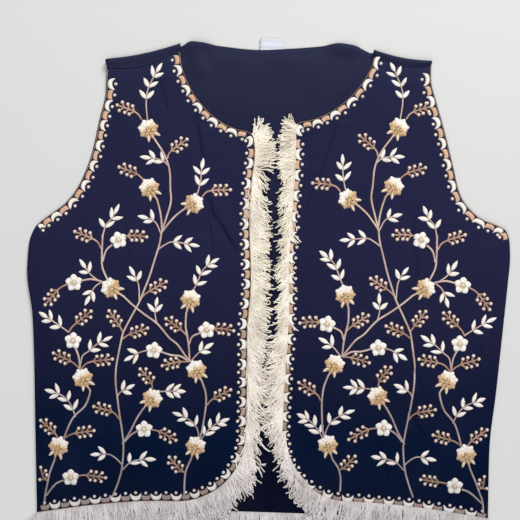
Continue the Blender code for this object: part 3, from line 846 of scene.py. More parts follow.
def band_tree():
    """A shape at each point, whose x is its place along a path, bent to that path. The path has the
    cloth on its left. In the shape, x is along the path, y in from it and z up."""
    needs = {"Shape": "Object", "Path": "Object", "Cloth": "Object", "Thread": "Material"}
    tree, given = new_tree("border_band", **needs)
    edge = add(tree, "GeometryNodeObjectInfo", {"Object": given["Path"]}).outputs["Geometry"]
    path = add(tree, "GeometryNodeMeshToCurve", {0: edge}).outputs[0]
    shape = add(tree, "GeometryNodeObjectInfo", {"Object": given["Shape"]}).outputs["Geometry"]
    size = {"Name": "size"}
    size = add(tree, "GeometryNodeInputNamedAttribute", size, data_type="FLOAT_VECTOR").outputs[0]
    real = set_copies(tree, given["Geometry"], shape, Scale=size)
    position = add(tree, "GeometryNodeInputPosition").outputs[0]
    place = add(tree, "ShaderNodeSeparateXYZ", {0: position}).outputs
    at = {"Curves": path, "Length": place["X"]}
    at = add(tree, "GeometryNodeSampleCurve", at, mode="LENGTH").outputs
    inward = {0: (0.0, 0.0, 1.0), 1: at["Tangent"]}
    inward = add(tree, "ShaderNodeVectorMath", inward, operation="CROSS_PRODUCT").outputs[0]
    inward = add(tree, "ShaderNodeVectorMath", {0: inward}, operation="NORMALIZE").outputs[0]
    aside = {0: inward, "Scale": place["Y"]}
    aside = add(tree, "ShaderNodeVectorMath", aside, operation="SCALE").outputs[0]
    foot = add(tree, "ShaderNodeVectorMath", {0: at["Position"], 1: aside}).outputs[0]
    lift = add(tree, "ShaderNodeCombineXYZ", {"Z": place["Z"]}).outputs[0]
    bent = add(tree, "ShaderNodeVectorMath", {0: foot, 1: lift}).outputs[0]
    laid = add(tree, "GeometryNodeSetPosition", {0: real, "Position": bent}).outputs[0]
    return end_tree(tree, drape(tree, laid, given["Cloth"]), given["Thread"])


def motif_tree():
    """One shape at each point of a mesh, turned and sized as the point says, and laid on the cloth."""
    tree, given = new_tree("embroidered_motifs", Motif="Object", Cloth="Object", Thread="Material")
    turn = add(tree, "GeometryNodeInputNamedAttribute", {"Name": "turn"}).outputs[0]
    size = {"Name": "size"}
    size = add(tree, "GeometryNodeInputNamedAttribute", size, data_type="FLOAT_VECTOR").outputs[0]
    shape = add(tree, "GeometryNodeObjectInfo", {"Object": given["Motif"]}).outputs["Geometry"]
    turned = {"Axis": (0.0, 0.0, 1.0), "Angle": turn}
    turned = add(tree, "FunctionNodeAxisAngleToRotation", turned).outputs[0]
    real = set_copies(tree, given["Geometry"], shape, Rotation=turned, Scale=size)
    return end_tree(tree, drape(tree, real, given["Cloth"]), given["Thread"])


def cord_tree():
    """A cord couched along smooth paths on the cloth, as thick as each path's points say."""
    tree, given = new_tree("couched_cords", Cloth="Object", Thread="Material", Step="Float", Lift="Float")
    path = add(tree, "GeometryNodeMeshToCurve", {0: given["Geometry"]}).outputs[0]
    smooth = add(tree, "GeometryNodeCurveSplineType", {0: path}, spline_type="CATMULL_ROM").outputs[0]
    fine = {0: smooth, "Length": given["Step"]}
    fine = add(tree, "GeometryNodeResampleCurve", fine, mode="LENGTH").outputs[0]
    laid = drape(tree, fine, given["Cloth"])
    up = add(tree, "ShaderNodeCombineXYZ", {"Z": given["Lift"]}).outputs[0]
    raised = add(tree, "GeometryNodeSetPosition", {0: laid, "Offset": up}).outputs[0]
    width = add(tree, "GeometryNodeInputNamedAttribute", {"Name": "width"}).outputs[0]
    return end_tree(tree, tubes(tree, raised, 6, 1.0, width), given["Thread"])


# Painted shade, darker toward the hem where less light falls: what is left of the colour at each height
PAINTED_SHADE = ((5, "#dadbe1"), (30, "#e9e9ed"), (55, "#efeef2"), (120, "#f6f3f5"), (170, "#ffffff"))


def paint_height_shade(tree, shader, dyed, painted_shade_tones):
    """Gives a shader a dyed colour, darkened with painted shade as these tones say at each height."""
    # The tones darken the colour toward the hem: painted shade
    wear_and_shade = {0: dyed, 1: by_height(tree, painted_shade_tones)}
    wear_and_shade = add(tree, "ShaderNodeVectorMath", wear_and_shade, operation="MULTIPLY").outputs[0]
    tree.links.new(wear_and_shade, shader.inputs["Base Color"])


def satin_thread(name, bright, dim, deep, painted_shade_tones=PAINTED_SHADE):
    """Rayon embroidery thread in satin stitch: it lies flat and side by side, with a soft gloss.

    The colour goes from bright to dim to deep as the piece's shade attribute goes from 0 to 1. The
    threads are 0.35 mm thick, too fine to show, so they are drawn 0.7 mm apart.
    """
    made, tree, shader = blank(name, Roughness=0.48, Specular_IOR_Level=0.3, Sheen_Weight=0.15)
    shade = add(tree, "ShaderNodeAttribute", attribute_name="shade").outputs["Fac"]
    ramp = add(tree, "ShaderNodeValToRGB", {0: shade})
    ramp.color_ramp.elements.new(0.5)
    for stop, code in zip(ramp.color_ramp.elements, (bright, dim, deep)):
        stop.color = colour(code)
    lie = add(tree, "ShaderNodeUVMap", uv_map="thread").outputs[0]
    slant = {0: lie, 1: (9.0, 2.5, 0.0)}
    slant = add(tree, "ShaderNodeVectorMath", slant, operation="DOT_PRODUCT").outputs["Value"]
    wave = add(tree, "ShaderNodeMath", {0: slant}, operation="SINE").outputs[0]
    place = add(tree, "ShaderNodeTexCoord").outputs["Object"]
    patchy = add(tree, "ShaderNodeTexNoise", {"Vector": place, "Scale": 420.0, "Detail": 2.0}).outputs[0]
    ridge = {0: wave, 1: 0.12, 2: patchy}
    ridge = add(tree, "ShaderNodeMath", ridge, operation="MULTIPLY_ADD").outputs[0]
    tone = {"Value": ridge, "From Min": 0.3, "From Max": 0.75, "To Min": 0.86, "To Max": 1.08}
    tone = add(tree, "ShaderNodeMapRange", tone).outputs[0]
    dyed = {0: ramp.outputs[0], "Scale": tone}
    dyed = add(tree, "ShaderNodeVectorMath", dyed, operation="SCALE").outputs[0]
    # Darker toward the hem as the tones say: painted shade
    paint_height_shade(tree, shader, dyed, painted_shade_tones)
    bump = add(tree, "ShaderNodeBump", {"Height": wave, "Strength": 0.5, "Distance": 0.0001})
    tree.links.new(bump.outputs[0], shader.inputs["Normal"])
    return made


def cord_thread(name, bright, dim, pitch, painted_shade_tones=PAINTED_SHADE):
    """The same rayon thread wound round a core: slanting turns, and a little darker between them."""
    made, tree, shader = blank(name, Roughness=0.5, Specular_IOR_Level=0.3, Sheen_Weight=0.1)
    along = add(tree, "ShaderNodeAttribute", attribute_name="along").outputs["Fac"]
    turns = {0: along, 1: 2 * math.pi / (pitch * MM)}
    turns = add(tree, "ShaderNodeMath", turns, operation="MULTIPLY").outputs[0]
    wave = add(tree, "ShaderNodeMath", {0: turns}, operation="SINE").outputs[0]
    place = add(tree, "ShaderNodeTexCoord").outputs["Object"]
    patchy = add(tree, "ShaderNodeTexNoise", {"Vector": place, "Scale": 90.0, "Detail": 3.0}).outputs[0]
    share = {0: wave, 1: 0.15, 2: patchy}
    share = add(tree, "ShaderNodeMath", share, operation="MULTIPLY_ADD").outputs[0]
    tone = add(tree, "ShaderNodeMapRange", {"Value": share, "From Min": 0.3, "From Max": 0.7}).outputs[0]
    mixed = add(tree, "ShaderNodeMix", {0: tone, 6: colour(dim), 7: colour(bright)}, data_type="RGBA")
    # Darker toward the hem as the tones say: painted shade
    paint_height_shade(tree, shader, mixed.outputs[2], painted_shade_tones)
    bump = add(tree, "ShaderNodeBump", {"Height": wave, "Strength": 0.5, "Distance": 0.0001})
    tree.links.new(bump.outputs[0], shader.inputs["Normal"])
    return made


def mark(mesh, **values):
    """Gives each point of a mesh its values, which are numbers or tuples of three."""
    for name, rows in values.items():
        if isinstance(rows[0], tuple):
            layer = mesh.attributes.new(name, "FLOAT_VECTOR", "POINT")
            layer.data.foreach_set("vector", [value for row in rows for value in row])
        else:
            mesh.attributes.new(name, "FLOAT", "POINT").data.foreach_set("value", rows)


def path_mesh(chains):
    """Chains of places as a mesh of edges. A chain is (width, places), and a place x, height."""
    places, links, widths = [], [], []
    for width, chain in chains:
        links += [(len(places) + k, len(places) + k + 1) for k in range(len(chain) - 1)]
        places += [spot(x, height, 0.0) for x, height in chain]
        widths += [width / 2 * MM] * len(chain)
    mesh = bpy.data.meshes.new("paths")
    mesh.from_pydata(places, links, [])
    mark(mesh, width=widths)
    return mesh


def points_mesh(places, **values):
    """A mesh of points alone with their values, for a tree to set shapes on."""
    mesh = bpy.data.meshes.new("places")
    mesh.from_pydata(places, [], [])
    mark(mesh, **values)
    return mesh


def worked(name, side, motif, thread, rows):
    """One motif worked at many places on a front.

    A row has x, height, lift, turn in degrees, its length, width and height against the motif's,
    and its shade.
    """
    mesh = points_mesh(
        [spot(*row[:3]) for row in rows],
        turn=[math.radians(row[3]) for row in rows],
        size=[row[4] for row in rows],
        shade=[row[5] for row in rows],
    )
    piece = grown("%s_%s" % (name, side), motifs, mesh, Motif=motif, Cloth=fronts[side], Thread=thread)
    return piece


def edge_path(side, run):
    """The edge that a border follows, in steps, with the cloth on its left."""
    if run == "front":
        path = opening_edge(side)[::-1] + hem_edge(side)[::-1][1:]
    else:
        path = [place for place in side_edge(side) if place.y > ARMHOLE_END]
    path = [mirrored(side, place) for place in stepped(path, PATH_STEP)]
    return path if side == "right" else path[::-1]


def repeat_edge(points):
    """An edge of a border shape, for 0 to 1, through places along one repeat. y is in from the edge."""
    curve = [Vector(place) for place in points]

    def edge(t):
        return smooth_at(curve, t)

    return edge


def smooth_at(curve, t):
    """A place on the smooth curve through some places, from the first at 0 to the last at 1."""
    at = t * (len(curve) - 1)
    k = min(int(at), len(curve) - 2)
    t = at - k
    p1, p2 = curve[k], curve[k + 1]
    p0 = curve[k - 1] if k else p1 * 2 - p2
    p3 = curve[k + 2] if k + 2 < len(curve) else p2 * 2 - p1
    bend = (2 * p0 - 5 * p1 + 4 * p2 - p3) * t * t + (3 * p1 - p0 - 3 * p2 + p3) * t * t * t
    return p1 + 0.5 * ((p2 - p0) * t + bend)


bands, motifs, cords = band_tree(), motif_tree(), cord_tree()
white_thread = satin_thread("white_satin_thread", "#f3eee6", "#ecdcc0", "#cda478")
# Painted shade for the tan thread: what is left of its colour at each height, darker toward the hem
TAN_PAINTED_SHADE = ((5, "#b0bad7"), (60, "#b8c2cc"), (120, "#c6d0ca"), (190, "#e3e5e3"), (260, "#ffffff"))
tan_thread = satin_thread("tan_satin_thread", "#d2ac8f", "#c09677", "#a57c5c", TAN_PAINTED_SHADE)
cream_thread = satin_thread("cream_knot_thread", "#e9dfd2", "#d6c2ac", "#b08a66")
edge_cord = cord_thread("brown_cord_thread", "#b3937b", "#7f5f4b", 1.6)

crescent_edges = (
    # along the edge, and in from it: the outer edge, then the inner
    (
        (-5.5, 8.5), (-5.3, 4.9), (-4.4, 2.2), (-2.5, 0.9), (0, 0.5),
        (2.5, 0.9), (4.4, 2.2), (5.3, 4.9), (5.5, 8.5),
    ),
    (
        (-5.5, 8.5), (-4.3, 7.6), (-3.2, 6.6), (-1.8, 5.8), (0, 5.5),
        (1.8, 5.8), (3.2, 6.6), (4.3, 7.6), (5.5, 8.5),
    ),
)
block_edges = (
    ((-4.3, 1.5), (-2.3, 0.9), (0.0, 0.8), (2.3, 0.9), (4.3, 1.5)),
    ((-4.7, 7.6), (-2.7, 6.5), (0.0, 5.9), (2.7, 6.5), (4.7, 7.6)),
)
crescent = satin_pad("crescent", *(repeat_edge(edge) for edge in crescent_edges), THREAD_RISE, along=12)
block = satin_pad("block", *(repeat_edge(edge) for edge in block_edges), THREAD_RISE * 0.7)
knot = knot_shape("knot", KNOT_WIDTH, 1.2)

for (side, run), stretches in STRETCHES.items():
    path = edge_path(side, run)
    whole = (len(path) - 1) * PATH_STEP
    chain = [(place.x, place.y) for place in path]
    edge = in_scene("edge", path_mesh([(1.0, chain)]))
    chance = random.Random("border %s %s" % (side, run))
    placed, knots = {"crescent": [], "block": []}, []
    for first, apart, count, shape in stretches:
        for k in range(count):
            at = first + k * apart
            if (side == "right") != (run == "front"):  # the path ends at the shoulder
                at = whole - at
            size = (apart / REPEAT * chance.uniform(0.96, 1.03), chance.uniform(0.95, 1.04), 1.0)
            placed[shape].append((at, size, chance.uniform(0.0, 0.15)))
            n = min(max(round(at / PATH_STEP), 1), len(path) - 2)
            way = (path[n + 1] - path[n - 1]).normalized()
            place = path[n] + Vector((-way.y, way.x)) * (KNOT_IN + chance.uniform(-0.4, 0.4))
            knots.append((place.x, place.y, 0.0, 0.0, (1.0, 1.0, 1.0), chance.uniform(0.0, 0.4)))
            shape = "block" if shape == "crescent" else "crescent"
    for name, shape, thread in (("crescent", crescent, white_thread), ("block", block, tan_thread)):
        mesh = points_mesh(
            [(at * MM, 0.0, 0.0) for at, size, shade in placed[name]],
            size=[size for at, size, shade in placed[name]],
            shade=[shade for at, size, shade in placed[name]],
        )
        given = {"Shape": shape, "Path": edge, "Cloth": fronts[side], "Thread": thread}
        piece = grown("border_%ss_%s_%s" % (name, run, side), bands, mesh, **given)
        if name == "crescent":
            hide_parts("border_%s_%s" % (run, side))
    bpy.data.objects.remove(edge)
    worked("border_knots_" + run, side, knot, cream_thread, knots)
    inset = [b + Vector((a.y - b.y, b.x - a.x)).normalized() * CORD_IN for a, b in zip(path, path[1:])]
    chains = path_mesh([(CORD_WIDTH, [(place.x, place.y) for place in inset[::3]])])
    given = {"Cloth": fronts[side], "Thread": edge_cord, "Step": CORD_STEP * MM, "Lift": CORD_LIFT * MM}
    piece = grown("border_cord_%s_%s" % (run, side), cords, chains, **given)


# Stems -------------------------------------------------------------------------------------------
# The branches of the flower pattern, a soft twisted cord of rose-beige rayon couched down by hand.
# Each front has the same branches, mirrored, and the right front's sit a little higher.

STEM_WIDTH = 2.0
STEM_STEP = 1.6
STEM_LIFT = 0.25
RIGHT_SHIFT = (-2.0, 10.0)

# How far the right front's flowers are out of place besides, near the hem. Between these places it
# changes smoothly.
RIGHT_STRAY = (
    # distance from the middle, height, how far out, how far up
    (205.0, 61.0, -1.0, -4.4),
    (192.0, 30.0, 2.0, -6.0),
    (218.0, 1.0, 6.0, -3.0),
    (215.0, 118.0, 3.0, -5.5),
    (148.0, 14.0, 3.0, -0.5),
    (120.0, 81.0, 1.0, -1.0),
    (68.0, 66.0, -2.4, -4.4),
    (113.0, 112.0, 1.0, -0.5),
    (78.0, 16.0, 1.8, -1.0),
    (183.0, 140.0, 0.0, 0.0),
    (60.0, 150.0, 0.0, 0.0),
    (140.0, 150.0, 0.0, 0.0),
    (120.0, 220.0, 0.0, 0.0),
    (200.0, 200.0, 0.0, 0.0),
)
STRAY_REACH = 14.0

# Each branch through places on the left front: distance from the middle, height
STEMS = (
    (
        (118, 369), (111, 359), (106, 349), (103, 338), (102, 322), (101, 309), (105, 293), (109, 279),
        (111, 266), (115, 251), (120, 233), (125, 219), (129, 208), (138, 190), (144, 177), (146, 168),
        (148, 156), (150, 142), (150, 127), (148, 113), (145, 95), (142, 79), (140, 63), (141, 41),
        (145, 25), (150, 12),
    ),
    ((115, 311), (112, 301), (110, 291), (109, 280)),
    ((89, 301), (97, 294), (105, 284), (109, 278)),
    ((161, 228), (167, 241), (168, 254), (168, 266), (168, 274)),
    ((158, 264), (164, 258), (167, 247)),
    (
        (145, 213), (136, 205), (124, 196), (112, 188), (105, 181), (98, 173), (90, 167), (83, 158),
        (77, 150),
    ),
    ((188, 227), (178, 229), (167, 227)),
    ((192, 161), (188, 152), (186, 139)),
    ((82, 198), (82, 185), (80, 175), (78, 163), (77, 150)),
    ((67, 179), (75, 175), (78, 167)),
    ((106, 159), (96, 156), (86, 155), (78, 150)),
    ((175, 118), (176, 112), (180, 102), (189, 93), (194, 85), (200, 69)),
    ((209, 46), (213, 34), (215, 24), (217, 13), (218, 1)),
    ((199, 27), (207, 23), (216, 11)),
    ((122, 101), (128, 91), (134, 78), (141, 66)),
    ((127, 79), (133, 75), (139, 68)),
    ((64, 131), (60, 120), (59, 109), (60, 98), (62, 83), (64, 73)),
    ((73, 51), (77, 41), (78, 30), (78, 16)),
)


def on_front(side, place):
    """Where a place of the left front's pattern falls on a front."""
    place = Vector(place)
    if side == "left":
        return Vector((-place.x, place.y))
    stray, whole = Vector((0.0, 0.0)), 0.0
    for out, height, more_out, up in RIGHT_STRAY:
        weight = ((place - Vector((out, height))).length_squared + STRAY_REACH**2) ** -2
        stray += weight * Vector((more_out, up))
        whole += weight
    return place + Vector(RIGHT_SHIFT) + stray / whole


def heading(side, way):
    """The angle, in degrees, that a direction of the left front's pattern has on a front."""
    return math.degrees(math.atan2(way[1], way[0] if side == "right" else -way[0]))


def couched(name, side, chains, thread, width, step, lift):
    """Cords of one thread, couched along chains of places of the pattern."""
    chains = [(width, [on_front(side, place) for place in chain]) for chain in chains]
    mesh = path_mesh(chains)
    given = {"Cloth": fronts[side], "Thread": thread, "Step": step * MM, "Lift": lift * MM}
    piece = grown("%s_%s" % (name, side), cords, mesh, **given)


# Painted shade for the stem cord: what is left of its colour at each height, darker toward the hem
STEM_PAINTED_SHADE = ((5.0, "#bcc4d4"), (70.0, "#c4ccdc"), (120.0, "#dde1ea"), (190.0, "#ffffff"))
stem_cord = cord_thread("rose_beige_cord_thread", "#d6bfb3", "#ab8d80", 2.2, STEM_PAINTED_SHADE)
for side in FRONTS:
    couched("stems", side, STEMS, stem_cord, STEM_WIDTH, STEM_STEP, STEM_LIFT)


# Leaf sprays -------------------------------------------------------------------------------------
# Small pointed leaves in white satin stitch, worked over padding. They stand in pairs along a thin
# stalk of the stem cord, with one at its end.

LEAF_LENGTH = 12.0
LEAF_WIDTH = 4.9
LEAF_TURN = 42.0
PAIR_APART = 11.5
STALK_WIDTH = 1.5
STALK_LIFT = 0.15

# Each spray: places from its root to the tip of its last leaf, and its leaves
LEAF_SPRAYS = (
    (((127, 389), (129, 407), (127, 423), (115, 448)), 7),
    (((105, 345), (111, 350), (123, 352), (134, 352)), 5),
    (((75, 317), (72, 331), (71, 354)), 5),
    (((110, 277), (117, 289), (134, 295)), 3),
    (((112, 261), (105, 266), (96, 269), (70, 265)), 5),
    (((168, 272), (165, 284), (159, 291), (153, 305)), 5),
    (((171, 228), (180, 235), (190, 249)), 3),
    (((168, 226), (175, 220), (183, 202)), 3),
    (((129, 209), (131, 227), (141, 243)), 3),
    (((111, 187), (113, 198), (111, 215)), 3),
    (((76, 220), (72, 229), (65, 244), (50, 255)), 7),
    (((198, 175), (210, 183), (230, 195)), 5),
    (((186, 141), (184, 152), (178, 157), (169, 165), (154, 173)), 5),
    (((76, 150), (67, 160), (53, 169)), 3),
    (((119, 160), (128, 157), (143, 148)), 3),
    (((189, 91), (194, 103), (203, 112), (221, 118)), 7),
    (((148, 112), (144, 118), (129, 125)), 3),
    (((106, 119), (94, 120), (78, 119)), 5),
    (((141, 45), (147, 51), (156, 55), (174, 53)), 3),
    (((140, 40), (132, 48), (120, 51), (107, 52)), 5),
    (((64, 72), (68, 85), (77, 93), (93, 100)), 5),
    (((63, 72), (57, 81), (48, 89), (34, 95)), 7),
)


def blade(name, length, width, swell, fullness, rise):
    """A satin-stitch leaf or petal from the origin along x. swell over 1 makes it widest past the
    middle, and fullness under 1 makes its tip blunt."""

    def half(u):
        return width / 2 * max(math.sin(math.pi * u**swell), 0.0) ** fullness

    def edge(sign):
        return lambda u: Vector((length * u, sign * half(u)))

    return satin_pad(name, edge(-1), edge(1), rise)


def grown_line(places):
    """A smooth line through some places, as places a millimetre apart from its end back."""
    curve = [Vector(place) for place in places]
    count = 8 * (len(curve) - 1)
    return stepped([smooth_at(curve, k / count) for k in range(count + 1)], PATH_STEP)[::-1]


def back_along(line, back):
    """The place so far back from a line's end, and the line's direction there."""
    k = min(round(back / PATH_STEP), len(line) - 2)
    return line[k], (line[max(k - 1, 0)] - line[k + 1]).normalized()


def turned(way, degrees):
    """A direction turned anticlockwise."""
    c, s = math.cos(math.radians(degrees)), math.sin(math.radians(degrees))
    return Vector((way.x * c - way.y * s, way.x * s + way.y * c))


def leaf_spray(places, count):
    """A spray's stalk, and each leaf's foot and direction."""
    line = grown_line(places)
    foot, way = back_along(line, LEAF_LENGTH)
    leaves = [(foot, (line[0] - foot).normalized())]
    pairs = (count - 1) // 2
    apart = min(PAIR_APART, (len(line) * PATH_STEP - LEAF_LENGTH - 2.0) / pairs)
    for j in range(pairs):
        foot, way = back_along(line, LEAF_LENGTH + apart * (j + 0.4))
        leaves += [(foot, turned(way, LEAF_TURN)), (foot, turned(way, -LEAF_TURN))]
    return line[round(LEAF_LENGTH / PATH_STEP) - 1 :: 3] + line[-1:], leaves


white_leaf = blade("leaf", LEAF_LENGTH, LEAF_WIDTH, 0.9, 0.9, 0.6)
for side in FRONTS:
    sprays = [leaf_spray(*spray) for spray in LEAF_SPRAYS]
    stalks = [stalk for stalk, leaves in sprays]
    couched("leaf_stalks", side, stalks, stem_cord, STALK_WIDTH, STEM_STEP, STALK_LIFT)
    rows = []
    chance = random.Random("leaves " + side)
    for stalk, leaves in sprays:
        for foot, way in leaves:
            place = on_front(side, foot)
            turn = heading(side, way) + chance.uniform(-6.0, 6.0)
            size = (chance.uniform(0.9, 1.06), chance.uniform(0.9, 1.08), 1.0)
            rows.append((place.x, place.y, 0.0, turn, size, chance.uniform(0.0, 0.12)))
    worked("leaves", side, white_leaf, white_thread, rows)


# Berry sprays ------------------------------------------------------------------------------------
# Round knots of cream thread, each ringed with tan, on short tan twigs along a thin bare stalk.

BERRY_WIDTH = 3.1
RING_WIDTH = 4.0
BERRY_OFF = 4.4
TWIG_WIDTH = 1.8
TWIG_LIFT = 0.1
TWIG_BACK = 3.8
BERRIES_BACK = (4.2, 9.6, 15.2)  # each pair of berries, back from the tip
SEAM_CLEAR = 3.0

# Each spray: places from its root to its last berry
AS_MADE = (1.0, 1.0, 1.0)  # the size of a motif that isn't stretched
BERRY_SPRAYS = (
    ((133, 390), (139, 397), (158, 404)),
    ((129, 330), (137, 336), (154, 342)),
    ((106, 352), (103, 359), (87, 372)),
    ((70, 315), (63, 321), (42, 323)),
    ((169, 260), (175, 268), (196, 276)),
    ((146, 273), (135, 274), (124, 273)),
    ((202, 223), (210, 218), (223, 202)),
    ((198, 176), (194, 182), (177, 197)),
    ((187, 140), (195, 146), (213, 154)),
    ((185, 139), (177, 146), (154, 150)),
    ((128, 211), (122, 217), (103, 229)),
    ((144, 176), (148, 183), (159, 198)),
    ((145, 170), (138, 175), (120, 182)),
    ((81, 176), (86, 181), (102, 192)),
    ((54, 183), (46, 184), (34, 182)),
    ((77, 150), (89, 149), (104, 145)),
    ((145, 90), (152, 97), (171, 102)),
    ((113, 120), (115, 129), (126, 141)),
    ((113, 81), (104, 79), (88, 71)),
    ((58, 107), (53, 113), (35, 123)),
    ((78, 39), (83, 42), (94, 54)),
    ((206, 69), (210, 75), (224, 86)),
    ((200, 69), (191, 74), (170, 78)),
    ((185, 32), (176, 33), (157, 31)),
    ((215.5, 26), (220, 30), (222.5, 39)),
)


def berry_spray(places):
    """A spray's stalk and twigs as chains of places, and the place of each berry.

    What would lie past the side seam is caught in it.
    """
    line = grown_line(places)
    length = (len(line) - 1) * PATH_STEP
    backs = [back for back in BERRIES_BACK if back < length - 1.0]
    whole = [place for place in line if place.x < side_x("left", place.y) - SEAM_CLEAR]
    chains = [whole[::3] + whole[-1:]]
    berries = [line[0]] if line[0] in whole else []
    for back in backs:
        for off in (BERRY_OFF, -BERRY_OFF):
            foot, way = back_along(line, min(back + TWIG_BACK, length))
            place, way = back_along(line, back)
            berry = place + Vector((-way.y, way.x)) * off
            if berry.x < side_x("left", berry.y) - SEAM_CLEAR:
                berries.append(berry)
                chains.append((foot, berry))
    return chains, berries


# Painted shade for the twigs and berry rings: what is left of their colour at each height, darker toward
# the hem
TWIG_PAINTED_SHADE = ((5, "#bcc2c8"), (60, "#cfd0cd"), (120, "#dcdcd6"), (190, "#efeeea"), (260, "#ffffff"))
tan_cord = cord_thread("tan_cord_thread", "#c8a48e", "#8f6c5a", 1.6, TWIG_PAINTED_SHADE)
ring_thread = satin_thread("tan_ring_thread", "#d2ac8f", "#c09677", "#a57c5c", TWIG_PAINTED_SHADE)
berry_knot = knot_shape("berry", BERRY_WIDTH, 1.3)
berry_ring = knot_shape("berry_ring", RING_WIDTH, 0.8)
for side in FRONTS:
    chains, rows = [], []
    for spray in BERRY_SPRAYS:
        twigs, berries = berry_spray(spray)
        chains += twigs
        for berry in berries:
            place = on_front(side, berry)
            rows.append((place.x, place.y, 0.0, 0.0, AS_MADE, 0.0))
    couched("twigs", side, chains, tan_cord, TWIG_WIDTH, STEM_STEP, TWIG_LIFT)
    worked("berries", side, berry_knot, cream_thread, rows)
    worked("berry_rings", side, berry_ring, ring_thread, rows)


# Blossoms ----------------------------------------------------------------------------------------
# Five pointed petals in white satin stitch round a gold knot, with a ring of short gold stitches.

PETALS = 5
PETAL_LENGTH = 8.7
PETAL_WIDTH = 8.4
PETAL_START = 0.3
TICK_LENGTH = 1.6
TICK_START = 2.0
TICKS = 10

# Each blossom: its middle, and the direction of its first petal, in degrees from level outwards
BLOSSOMS = (
    ((152, 269), 0.0),
    ((195, 225), 12.0),
    ((194, 167), 20.0),
    ((61, 182), 8.0),
    ((113, 160), 25.0),
    ((120, 81), 15.0),
    ((192, 30), 18.0),
)


def rays(side, middle, first, count, start, lift, size, shade):
    """Rows for petals or stitches that stand round a middle."""
    rows = []
    for k in range(count):
        turn = math.radians(first + 360.0 * k / count)
        way = Vector((math.cos(turn), math.sin(turn)))
        place = on_front(side, Vector(middle) + way * start)
        rows.append((place.x, place.y, lift, heading(side, way), size, shade(way)))
    return rows


white_petal = blade("petal", PETAL_LENGTH, PETAL_WIDTH, 1.2, 0.9, 0.65)
gold_knot = knot_shape("gold_knot", 4.2, 1.2)
tick = blade("tick", TICK_LENGTH, 0.7, 1.0, 0.6, 0.5)
gold_thread = satin_thread("gold_satin_thread", "#f4efe6", "#dcbc84", "#bb957b")
for side in FRONTS:
    petals, middles, ticks = [], [], []
    for middle, first in BLOSSOMS:
        petals += rays(side, middle, first, PETALS, PETAL_START, 0.0, AS_MADE, lambda way: 0.02)
        place = on_front(side, middle)
        middles.append((place.x, place.y, 0.5, 0.0, AS_MADE, 0.35))
        ticks += rays(side, middle, first + 9.0, TICKS, TICK_START, 0.85, AS_MADE, lambda way: 0.7)
    worked("blossom_petals", side, white_petal, white_thread, petals)
    worked("blossom_middles", side, gold_knot, gold_thread, middles)
    worked("blossom_stitches", side, tick, gold_thread, ticks)


# Roses -------------------------------------------------------------------------------------------
# Double flowers in satin stitch: outer petals that go from white, at the far side, to tan near the
# stem, gold inner ones, and a gold knot. Three narrow sepals stand about the stem.

ROSE_OUTER = 7
OUTER_SHARES = (1.0, 0.84)  # the two rings of petals, one between the other's, against their length
OUTER_START = 0.8
ROSE_INNER = 6
INNER_SHARES = (1.0, 0.62)
INNER_SHIFT = 1.8  # the inner petals stand this far toward the stem
SEPALS = (
    # degrees from the stem, length and width against the widest one's, shade
    (-29.0, 1.0, 1.0, 0.3),
    (29.0, 0.95, 1.0, 0.25),
    (2.0, 0.75, 0.8, 0.55),
)
SEPAL_START = 5.4
STALK_END = 8.0

# Each rose: its middle, and its stem's end, which its sepals point to
ROSES = (
    ((126, 381), (118, 369)),
    ((123, 322), (115, 311)),
    ((78, 308), (89, 301)),
    ((158, 221), (145, 213)),
    ((78, 212), (82, 198)),
    ((183, 130), (175, 118)),
    ((70, 142), (64, 131)),
    ((113, 112), (122, 101)),
    ((68, 66), (73, 51)),
    ((205, 61), (209, 46)),
)

outer_petal = blade("outer_petal", 10.2, 6.2, 1.5, 0.85, 1.0)
inner_petal = blade("inner_petal", 5.8, 3.6, 1.2, 0.9, 1.1)
sepal = blade("sepal", 8.8, 3.4, 1.1, 0.85, 1.0)
